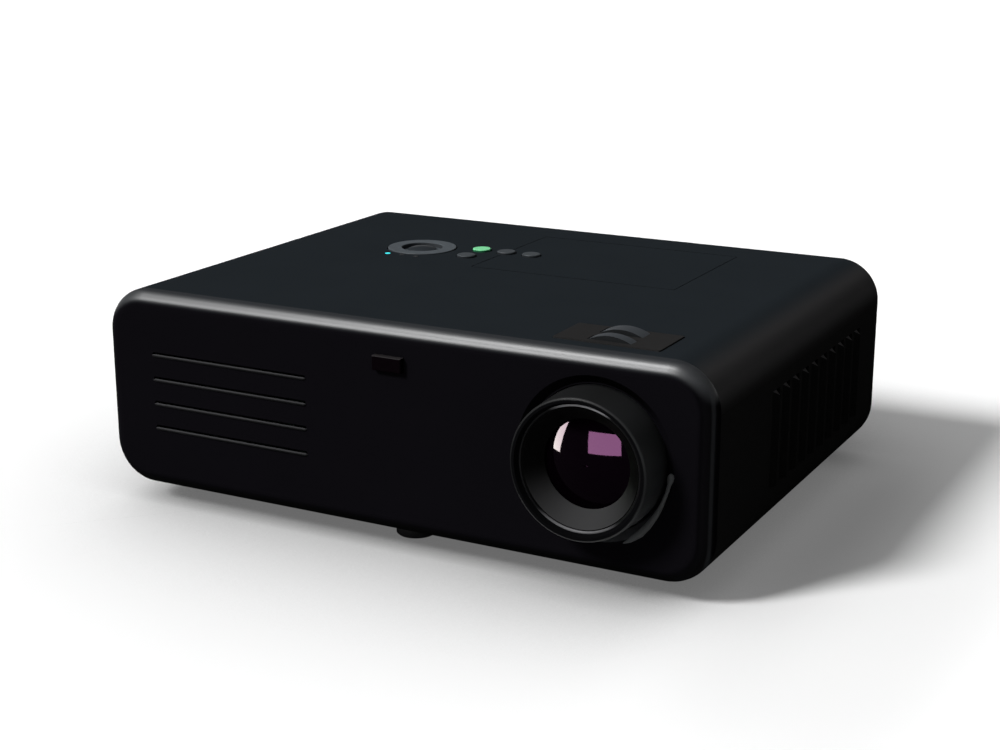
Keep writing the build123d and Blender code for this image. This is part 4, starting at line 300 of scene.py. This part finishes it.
def shade_of(colour, factor):
    return tuple(min(1.0, c * factor) for c in colour)


def clouded(tree, cloud, colour, darkest, palest):
    """Colour that follows a noise from one factor of itself to another."""
    return mix_colours(tree, cloud, shade_of(colour, darkest), shade_of(colour, palest))


def paint(tree, shader, colour):
    tree.links.new(colour, shader.inputs["Base Color"])


def patchy_gloss(tree, shader, roughness):
    """Roughness that drifts a little from patch to patch."""
    patches = noise(tree, PATCH, detail=5.0)
    drifting = spread(tree, patches, *NOISE_MIDDLE, roughness - GLOSS_DRIFT, roughness + GLOSS_DRIFT)
    tree.links.new(drifting, shader.inputs["Roughness"])


def satin_coat(tree, shader, weight, roughness):
    tree.links.new(weight, shader.inputs["Coat Weight"])
    shader.inputs["Coat Roughness"].default_value = roughness
    shader.inputs["Coat IOR"].default_value = COAT_IOR


def bump(tree, shader, height, strength, depth):
    made = add(tree, "ShaderNodeBump", {"Height": height, "Strength": strength, "Distance": depth})
    tree.links.new(made.outputs["Normal"], shader.inputs["Normal"])


# Materials.


def moulded(name, colour, roughness, specular, grain=FINE_GRAIN, depth=0.00002, vary=0.12, upper=None):
    """Moulded plastic or rubber: grain, cloudy colour, patchy gloss. A colour for tops, if given, is
    painted light on surfaces that face up.
    """
    made, tree, shader = new_material(name, colour, roughness, specular)
    cloud = noise(tree, CLOUD, detail=4.0)
    tint = clouded(tree, cloud, colour, 1.0 - vary, 1.0 + vary)
    # Painted light: tops that face up take the paler colour.
    if upper is not None:
        bright = clouded(tree, cloud, upper, 1.0 - vary, 1.0 + vary)
        tint = mix_colours(tree, rise(tree, normal_parts(tree)["Z"], *PAINTED_TOP_LIGHT_Z), tint, bright)
    paint(tree, shader, tint)
    patchy_gloss(tree, shader, roughness)
    bump(tree, shader, noise(tree, grain, detail=2.0), strength=0.35, depth=depth)
    return made


def case_plastic(name, top, shoulder, shaded_flank, roughness):
    """Case: charcoal on top, with a painted highlight on the rounded shoulders, and painted shade, near
    black, on flanks and reveals.
    """
    made, tree, shader = new_material(name, top, roughness, specular=0.0)
    facing = normal_parts(tree)
    # Painted shade on the flanks and a painted highlight on the shoulders, by how far the surface faces
    # up.
    side = mix_colours(tree, rise(tree, facing["Z"], *CASE_SHOULDER_HIGHLIGHT_Z), shaded_flank, shoulder)
    light = clouded(tree, noise(tree, CLOUD, detail=4.0), top, darkest=0.93, palest=1.07)
    outside = mix_colours(tree, rise(tree, facing["Z"], *CASE_TOP_Z), side, light)
    # Painted shade on faces that turn to the front.
    reveal_shade = shade_of(shaded_flank, REVEAL_SHADE)
    paint(tree, shader, mix_colours(tree, rise(tree, facing["Y"], *CASE_REVEAL_SHADE_Y), reveal_shade, outside))
    patchy_gloss(tree, shader, roughness)
    bump(tree, shader, noise(tree, FINE_GRAIN, detail=2.0), strength=0.3, depth=0.00002)
    return made


def front_plastic(name, shaded_under, face, shoulder, roughness):
    """Front panel: black, with painted shade on faces turned down or to the right, a painted highlight
    line on its right-hand edge, and a painted highlight on its rounded shoulder, which handling has
    polished to a satin.
    """
    made, tree, shader = new_material(name, face, roughness, specular=0.0)
    facing = normal_parts(tree)
    up, right = facing["Z"], facing["X"]
    cloud = noise(tree, CLOUD, detail=4.0)
    plain = clouded(tree, cloud, face, darkest=0.92, palest=1.08)
    # Painted shade on faces that turn down, unless they also turn left.
    open_side = plus(tree, rise(tree, up, *PANEL_SHADED_UNDER_Z), fall(tree, right, *PANEL_LEFT_X))
    dark = mix_colours(tree, open_side, shaded_under, plain)
    # Painted shade on faces that turn right, then a painted highlight line along the right-hand edge.
    turned = rise(tree, right, *PANEL_RIGHT_X)
    shaded_edge = mix_colours(tree, turned, dark, shade_of(face, PANEL_EDGE_SHADE))
    highlight_line = hill(tree, right, *EDGE_HIGHLIGHT_X)
    with_highlight_line = mix_colours(tree, highlight_line, shaded_edge, shade_of(shoulder, EDGE_HIGHLIGHT_FACTOR))
    # Painted highlight on the rounded shoulder.
    pale = clouded(tree, cloud, shoulder, darkest=0.95, palest=1.05)
    paint(tree, shader, mix_colours(tree, rise(tree, up, *PANEL_SHOULDER_HIGHLIGHT_Z), with_highlight_line, pale))
    patchy_gloss(tree, shader, roughness)
    rounded = spread(tree, flatness(tree), 0.0, 1.0, 1.0, 0.0)
    satin = times(tree, rounded, spread(tree, up, *PANEL_SATIN_Z, *SATIN_FROM_TO))
    satin_coat(tree, shader, satin, SHOULDER_ROUGHNESS)
    bump(tree, shader, noise(tree, FINE_GRAIN, detail=2.0), strength=0.3, depth=0.000015)
    return made


def barrel_plastic(name, colour, side, roughness):
    """Lens barrel: matt black in front, satin outside with painted shade on the left and a painted
    highlight on the right, and worn most below.
    """
    made, tree, shader = new_material(name, colour, roughness, specular=0.0)
    cloud = noise(tree, size=0.02, detail=4.0)
    surface = add(tree, "ShaderNodeNewGeometry").outputs
    facing = parts_of(tree, surface["Normal"])
    from_axis = vector_maths(tree, "SUBTRACT", surface["Position"], (LENS_X, 0.0, LENS_Z))
    across = vector_maths(tree, "MULTIPLY", from_axis, (1.0, 0.0, 1.0))
    outward = vector_maths(tree, "DOT_PRODUCT", across, surface["Normal"])
    outer = rise(tree, outward, *BARREL_OUTER)
    # Painted shade on the left of the outside and a painted highlight on its right.
    painted_shade_and_highlight = shade_of(side, BARREL_LEFT_SHADE), shade_of(side, BARREL_RIGHT_HIGHLIGHT)
    pale = mix_colours(tree, rise(tree, facing["X"], *BARREL_LIT_RIGHT_X), *painted_shade_and_highlight)
    dark = clouded(tree, cloud, colour, darkest=0.9, palest=1.1)
    paint(tree, shader, mix_colours(tree, outer, dark, pale))
    height = parts_of(tree, from_axis)["Z"]
    low = spread(tree, height, *BARREL_LOW, WEAR_LOW, WEAR_AXIS)
    high = spread(tree, height, *BARREL_HIGH, 0.0, WEAR_HIGH)
    off_face = fall(tree, maths(tree, "ABSOLUTE", facing["Y"]), *BARREL_FACE_Y)
    worn = times(tree, times(tree, outer, plus(tree, low, high)), off_face)
    satin_coat(tree, shader, worn, RIM_ROUGHNESS)
    bump(tree, shader, noise(tree, FINE_GRAIN, detail=2.0), strength=0.25, depth=0.00001)
    return made


def bead_painted_highlights(name, colour, lower, upper):
    """Bead round the mouth: dark at its sides, with a painted highlight below the axis and a stronger
    painted highlight above it.
    """
    made, tree, shader = new_material(name, colour, roughness=0.35, specular=0.06)
    height = parts_of(tree, add(tree, "ShaderNodeNewGeometry").outputs["Position"])["Z"]
    # Painted highlights below and above the axis; the sides keep the dark colour.
    low = fall(tree, height, *(LENS_Z + z for z in BEAD_LOW_HIGHLIGHT))
    high = rise(tree, height, *(LENS_Z + z for z in BEAD_HIGH_HIGHLIGHT))
    cloud = spread(tree, noise(tree, size=0.01, detail=3.0), *NOISE_MIDDLE, *BEAD_CLOUD)
    below = mix_colours(tree, times(tree, low, cloud), colour, lower)
    paint(tree, shader, mix_colours(tree, times(tree, high, cloud), below, upper))
    bump(tree, shader, noise(tree, FINE_GRAIN, detail=2.0), strength=0.2, depth=0.000003)
    return made


def metal(name, colour, roughness, depth=0.000008):
    made, tree, shader = new_material(name, colour, roughness, specular=0.5, metallic=1.0)
    cloud = noise(tree, size=0.01, detail=4.0)
    paint(tree, shader, clouded(tree, cloud, colour, darkest=0.85, palest=1.1))
    patches = noise(tree, size=0.004, detail=4.0)
    rubbed, dull = METAL_DRIFT
    uneven = spread(tree, patches, *NOISE_MIDDLE, roughness * rubbed, roughness * dull)
    tree.links.new(uneven, shader.inputs["Roughness"])
    bump(tree, shader, noise(tree, size=0.0004, detail=2.0), strength=0.3, depth=depth)
    return made


def lit(name, colour, glow=BLACK, strength=0.0):
    """A clear light pipe, glowing if strength isn't 0."""
    made, tree, shader = new_material(name, colour, roughness=0.25, specular=0.5)
    shader.inputs["Emission Color"].default_value = (*glow, 1.0)
    shader.inputs["Emission Strength"].default_value = strength
    cloud = noise(tree, size=0.002, detail=2.0)
    paint(tree, shader, clouded(tree, cloud, colour, darkest=0.85, palest=1.1))
    bump(tree, shader, noise(tree, size=0.0006, detail=1.0), strength=0.2, depth=0.00001)
    return made


def coated_glass(name):
    """Lens glass with a purple anti-reflection coating, dark behind."""
    made, tree, shader = new_material(name, GLASS_COLOUR, roughness=0.03, specular=GLASS_SPECULAR)
    shader.inputs["Specular Tint"].default_value = GLASS_TINT
    smear = spread(tree, noise(tree, size=0.02, detail=4.0), *SMEAR_NOISE, *SMEAR_ROUGHNESS)
    tree.links.new(smear, shader.inputs["Roughness"])
    return made


def circuit_board(name):
    """Green board with paler specks, as of tracks and pads."""
    made, tree, shader = new_material(name, (0.02, 0.11, 0.05), roughness=0.45, specular=0.5)
    tracks = noise(tree, size=0.004, detail=6.0, stretch=(1.0, 3.0, 1.0))
    speck = rise(tree, tracks, *SPECK_NOISE)
    paint(tree, shader, mix_colours(tree, speck, (0.012, 0.075, 0.035), (0.03, 0.16, 0.075)))
    bump(tree, shader, speck, strength=0.3, depth=0.00003)
    return made


SLOTS = {
    # Case and front panel: the shoulder colours are painted highlights, and the flank and under colours
    # are painted shade.
    "case_plastic": case_plastic(
        "case_plastic",
        top=(0.0157, 0.0192, 0.0224),
        shoulder=(0.048, 0.047, 0.048),
        shaded_flank=(0.0098, 0.0098, 0.0098),
        roughness=0.72,
    ),
    "panel_plastic": front_plastic(
        "panel_plastic",
        shaded_under=(0.001, 0.001, 0.001),
        face=(0.0042, 0.0038, 0.0050),
        shoulder=(0.031, 0.033, 0.036),
        roughness=0.75,
    ),
    # Barrel: its side colour is shaded on the left and lit on the right in paint.
    "barrel_plastic": barrel_plastic(
        "barrel_plastic", (0.003, 0.003, 0.0034), side=(0.0072, 0.0076, 0.008), roughness=0.5
    ),
    "dark_plastic": moulded("dark_plastic", (0.012, 0.012, 0.013), roughness=0.6, specular=0.2),
    "trim_plastic": moulded("trim_plastic", (0.021, 0.0205, 0.0205), roughness=0.7, specular=0.02),
    "foot_plastic": moulded("foot_plastic", (0.015, 0.015, 0.016), roughness=0.6, specular=0.2),
    "lamp_plastic": moulded("lamp_plastic", (0.3, 0.29, 0.27), roughness=0.6, specular=0.3),
    "socket_plastic": moulded("socket_plastic", (0.02, 0.03, 0.06), roughness=0.45, specular=0.3),
    # The second colours of the next six pieces are painted light on their tops.
    "wheel_plastic": moulded(
        "wheel_plastic", (0.011, 0.012, 0.013), roughness=0.5, specular=0.1, vary=0.05,
        upper=(0.05, 0.056, 0.063),
    ),
    # Cone inside the lens: near black where it faces down and paler where it faces up, painted shade
    # and painted light.
    "ring_satin": moulded(
        "ring_satin", (0.0008, 0.0008, 0.0008), roughness=0.6, specular=0.02, depth=0.000008,
        upper=(0.036, 0.036, 0.037),
    ),
    "dark_red_window": moulded(
        "dark_red_window", (0.0014, 0.0004, 0.0011), roughness=0.25, specular=0.01, depth=0.000003,
        upper=(0.022, 0.020, 0.021),
    ),
    "grey_keys": moulded(
        "grey_keys", (0.02, 0.023, 0.026), roughness=0.5, specular=0.1, vary=0.05,
        upper=(0.056, 0.064, 0.071),
    ),
    "dark_keys": moulded(
        "dark_keys", (0.010, 0.013, 0.017), roughness=0.35, specular=0.2, vary=0.05,
        upper=(0.021, 0.026, 0.031),
    ),
    "green_key": moulded(
        "green_key", (0.012, 0.11, 0.045), roughness=0.45, specular=0.1, vary=0.04,
        upper=(0.23, 0.76, 0.37),
    ),
    "soft_rubber": moulded(
        "soft_rubber", (0.01, 0.01, 0.01), roughness=0.8, specular=0.15, grain=LEATHER_GRAIN
    ),
    "speaker_paper": moulded(
        "speaker_paper", (0.02, 0.02, 0.02), roughness=0.9, specular=0.1, grain=LEATHER_GRAIN
    ),
    "lit_blue": lit("lit_blue", (0.03, 0.5, 0.55), glow=(0.05, 0.75, 0.8), strength=0.9),
    "unlit_light": lit("unlit_light", (0.02, 0.022, 0.025)),
    "clear_quartz": lit("clear_quartz", (0.7, 0.72, 0.75)),
    "coated_glass": coated_glass("coated_glass"),
    "circuit_board": circuit_board("circuit_board"),
    "brass_bush": metal("brass_bush", (0.6, 0.42, 0.18), roughness=0.35),
    "steel": metal("steel", (0.55, 0.55, 0.56), roughness=0.3),
    "cast_alloy": metal("cast_alloy", (0.45, 0.46, 0.47), roughness=0.5, depth=0.00004),
    "mirrored": metal("mirrored", (0.9, 0.9, 0.9), roughness=0.05, depth=0.000001),
    "black_aluminium": metal("black_aluminium", (0.03, 0.03, 0.03), roughness=0.45),
}

# Finishes of single pieces: the rocker ring and the three added pieces, with painted light on their
# tops and painted highlights.
# Rocker ring: grey, with a paler top that is painted light.
RING_GREY = moulded(
    "ring_grey", (0.034, 0.038, 0.042), roughness=0.5, specular=0.1, vary=0.05,
    upper=(0.077, 0.090, 0.101),
)
BEAD_PAINTED_HIGHLIGHTS = bead_painted_highlights(
    "bead_painted_highlights", (0.003, 0.003, 0.0034), lower=(0.125, 0.125, 0.13), upper=(0.46, 0.46, 0.48)
)
# Slot lips: dark, with a paler top that is painted light.
LIP_PAINTED_TOP_LIGHT = moulded(
    "lip_painted_top_light", (0.006, 0.006, 0.0064), roughness=0.6, specular=0.02, depth=0.000003,
    upper=(0.042, 0.042, 0.044),
)
# Dish bead: its pale grey, palest on top, is a painted highlight.
DISH_BEAD_PAINTED_HIGHLIGHT = moulded(
    "dish_bead_painted_highlight", (0.085, 0.089, 0.091), roughness=0.5, specular=0.05, depth=0.000005,
    upper=(0.12, 0.126, 0.13),
)

for part in frame["record"]["subparts"]:
    for socket in nodes[part["node"]].material_slots:
        socket.material = SLOTS[part["material_slot"]]
for socket in nodes["nav_ring"].material_slots:
    socket.material = RING_GREY


# Added pieces: lips and beads too fine for the CAD, coloured with painted light and painted highlights.


def tube_rings(points, radii, sides, closed):
    """Rings of vertices round a path of points, each ring square to the path."""
    rings = []
    last = len(points) - 1
    turns = [2.0 * math.pi * k / sides for k in range(sides)]
    for i, (point, radius) in enumerate(zip(points, radii)):
        ahead = points[(i + 1) % len(points) if closed else min(i + 1, last)]
        behind = points[i - 1 if closed else max(i - 1, 0)]
        along = (ahead - behind).normalized()
        out = along.cross(Vector((0.0, 1.0, 0.0))).normalized()
        front = along.cross(out)
        rings.append([point + radius * (math.cos(a) * out + math.sin(a) * front) for a in turns])
    return rings


def make_tubes(name, tubes, sides, body, material, closed=False):
    """One piece of smooth tubes, each with its points and radii. A closed tube meets its own end."""
    vertices, faces = [], []
    for points, radii in tubes:
        start = len(vertices)
        rings = tube_rings(points, radii, sides, closed)
        for ring in rings:
            vertices += ring
        for i in range(len(rings) if closed else len(rings) - 1):
            near = start + i * sides
            far = start + (i + 1) % len(rings) * sides
            for k in range(sides):
                after = (k + 1) % sides
                faces.append((near + k, near + after, far + after, far + k))
        if not closed:
            last = start + (len(rings) - 1) * sides
            faces.append(tuple(start + k for k in reversed(range(sides))))
            faces.append(tuple(last + k for k in range(sides)))
    mesh = bpy.data.meshes.new(name)
    mesh.from_pydata(vertices, [], faces)
    mesh.polygons.foreach_set("use_smooth", [True] * len(faces))
    mesh.update()
    piece = bpy.data.objects.new(name, mesh)
    bpy.context.scene.collection.objects.link(piece)
    mesh.materials.append(material)
    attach(piece, body)


def round_lens(radius, angle_deg, y):
    angle = math.radians(angle_deg)
    return Vector((LENS_X + radius * math.cos(angle), y, LENS_Z + radius * math.sin(angle)))


def slot_lips():
    """Rounded lower lips of the four slots in the front, tapered at their ends, with painted light on
    their tops.
    """
    across = (SLOT_LEFT, SLOT_LEFT + LIP_TAPER, SLOT_RIGHT - LIP_TAPER, SLOT_RIGHT)
    radii = [0.5 * LIP_R, LIP_R, LIP_R, 0.5 * LIP_R]
    tubes = [([Vector((x, FRONT_Y, z)) for x in across], radii) for z in SLOT_LIPS_Z]
    make_tubes("slot_lips", tubes, THIN_SIDES, "body", LIP_PAINTED_TOP_LIGHT)


def mouth_ring():
    """Thin bead round the mouth of the cone, with painted highlights above and below."""
    points = [round_lens(BEAD_RING_R, a, MOUTH_Y) for a in range(0, 360, BEAD_STEP)]
    tubes = [(points, [BEAD_R] * len(points))]
    make_tubes("mouth_ring", tubes, THIN_SIDES, "front_group", BEAD_PAINTED_HIGHLIGHTS, closed=True)


def dish_bead():
    """Tapered bead along the lower right of the dish round the lens, with a round end, whose pale grey
    is a painted highlight.
    """
    points = [round_lens(distance, angle, DISH_BEAD_Y) for angle, distance, _ in DISH_BEAD]
    radii = [radius for _, _, radius in DISH_BEAD]
    make_tubes("dish_bead", [(points, radii)], DISH_SIDES, "body", DISH_BEAD_PAINTED_HIGHLIGHT)


slot_lips()
mouth_ring()
dish_bead()


# Floor, lights and camera.


def make_floor():
    """A pale floor with painted shade near the case. A glow that only the camera sees keeps its shadow
    pale.
    """
    size = FLOOR_HALF
    mesh = bpy.data.meshes.new("floor")
    corners = [(-size, -size, 0.0), (size, -size, 0.0), (size, size, 0.0), (-size, size, 0.0)]
    mesh.from_pydata(corners, [], [(0, 1, 2, 3)])
    floor = bpy.data.objects.new("floor", mesh)
    bpy.context.scene.collection.objects.link(floor)
    made, tree, shader = new_material("floor_white", WHITE, roughness=1.0, specular=0.0)
    # Painted shade near the case, from ambient occlusion, fading out to the right of it.
    near = add(tree, "ShaderNodeAmbientOcclusion", {"Distance": PAINTED_SHADE_REACH}, samples=8).outputs["AO"]
    where = parts_of(tree, add(tree, "ShaderNodeTexCoord").outputs["Object"])
    painted_contact_shade = mix_values(tree, fall(tree, where["X"], *PAINTED_SHADE_X), 1.0, near)
    path = add(tree, "ShaderNodeLightPath").outputs
    paint(tree, shader, mix_values(tree, path["Is Diffuse Ray"], painted_contact_shade, FLOOR_BOUNCE))
    shader.inputs["Emission Color"].default_value = (*WHITE, 1.0)
    # The camera-only glow is painted light; it is dimmer beside and behind the case, which paints the
    # shadow darker there.
    beside = times(tree, hill(tree, where["X"], *BESIDE_X), hill(tree, where["Y"], *BESIDE_Y))
    behind = times(tree, hill(tree, where["X"], *BEHIND_X), hill(tree, where["Y"], *BEHIND_Y))
    level = spread(tree, beside, 0.0, 1.0, SHADOW_FLOOR, BESIDE_SHARE * SHADOW_FLOOR)
    seen = times(tree, path["Is Camera Ray"], level)
    glow = times(tree, seen, spread(tree, behind, 0.0, 1.0, 1.0, BEHIND_SHARE))
    tree.links.new(glow, shader.inputs["Emission Strength"])
    mesh.materials.append(made)


def make_sun(name, towards, level, width_deg, glossy_only=False):
    """A far soft lamp. towards points from the object to it, and level is what it adds on the floor."""
    lamp = bpy.data.lights.new(name, "SUN")
    direction = Vector(towards).normalized()
    lamp.angle = math.radians(width_deg)
    lamp.energy = level * math.pi / direction.z
    thing = bpy.data.objects.new(name, lamp)
    thing.rotation_euler = direction.to_track_quat("Z", "Y").to_euler()
    thing.visible_diffuse = not glossy_only
    bpy.context.scene.collection.objects.link(thing)


def make_softbox(name, lit_object, centre, faces, roll_deg, size, colour, radiance):
    """A lamp panel that shows only as a reflection in one object. faces is the way that it shines."""
    lamp = bpy.data.lights.new(name, "AREA")
    lamp.shape = "RECTANGLE"
    lamp.size, lamp.size_y = size
    lamp.color = colour
    lamp.energy = radiance * AREA_LAMP_POWER * size[0] * size[1]
    thing = bpy.data.objects.new(name, lamp)
    aimed = Vector(faces).to_track_quat("-Z", "Y").to_euler().to_matrix()
    turn = aimed @ Matrix.Rotation(math.radians(roll_deg), 3, "Z")
    thing.matrix_world = Matrix.Translation(centre) @ turn.to_4x4()
    thing.visible_diffuse = False
    thing.visible_camera = False
    bpy.context.scene.collection.objects.link(thing)
    only = bpy.data.collections.new(name + "_lights")
    only.objects.link(lit_object)
    thing.light_linking.receiver_collection = only


def make_world():
    """Soft light all round, dimmer from the right. The camera sees white, and gloss a pale horizon."""
    world = bpy.data.worlds.new("studio")
    world.use_nodes = True
    bpy.context.scene.world = world
    tree = world.node_tree
    tree.nodes.clear()
    where = parts_of(tree, add(tree, "ShaderNodeTexCoord").outputs["Generated"])
    ambient = spread(tree, where["X"], -1.0, 1.0, *AMBIENT_LEFT_RIGHT)
    horizon = spread(tree, where["Z"], *HORIZON_Z, *HORIZON_ABOVE)
    path = add(tree, "ShaderNodeLightPath").outputs
    reflected = maths(tree, "MAXIMUM", path["Is Glossy Ray"], path["Is Transmission Ray"])
    light = mix_values(tree, reflected, ambient, horizon)
    level = mix_values(tree, path["Is Camera Ray"], light, 1.0)
    sky = add(tree, "ShaderNodeBackground", {"Color": (*WHITE, 1.0), "Strength": level})
    add(tree, "ShaderNodeOutputWorld", {"Surface": sky.outputs["Background"]})


def make_camera():
    camera = bpy.data.cameras.new("camera")
    camera.sensor_fit = "HORIZONTAL"
    camera.sensor_width = SENSOR_MM
    camera.lens = LENS_MM
    camera.clip_start, camera.clip_end = CAMERA_CLIP
    thing = bpy.data.objects.new("camera", camera)
    thing.location = CAMERA_AT
    thing.rotation_euler = (math.pi / 2 - CAMERA_DIP, 0.0, CAMERA_TURN)
    bpy.context.scene.collection.objects.link(thing)
    bpy.context.scene.camera = thing


make_floor()
make_world()
make_sun("key", towards=(-0.71, -1.0, 1.0), level=0.62, width_deg=14.0)
make_sun("overhead_strip", towards=(-0.36, -0.27, 0.89), level=0.87, width_deg=10.0, glossy_only=True)
make_softbox(
    "window_panel",
    nodes["front_glass"],
    centre=(0.0635, -0.2965, 0.0569),
    faces=(0.1243, 0.9922, 0.0),
    roll_deg=3.0,
    size=(0.106, 0.066),
    colour=(1.0, 0.78, 0.86),
    radiance=128.0,
)
make_softbox(
    "side_panel",
    nodes["front_glass"],
    centre=(-0.0519, -0.1965, 0.0630),
    faces=(0.7206, 0.692, 0.0431),
    roll_deg=-13.5,
    size=(0.052, 0.084),
    colour=(0.64, 0.862, 0.557),
    radiance=509.0,
)
make_camera()
bpy.context.scene.view_settings.view_transform = "Standard"
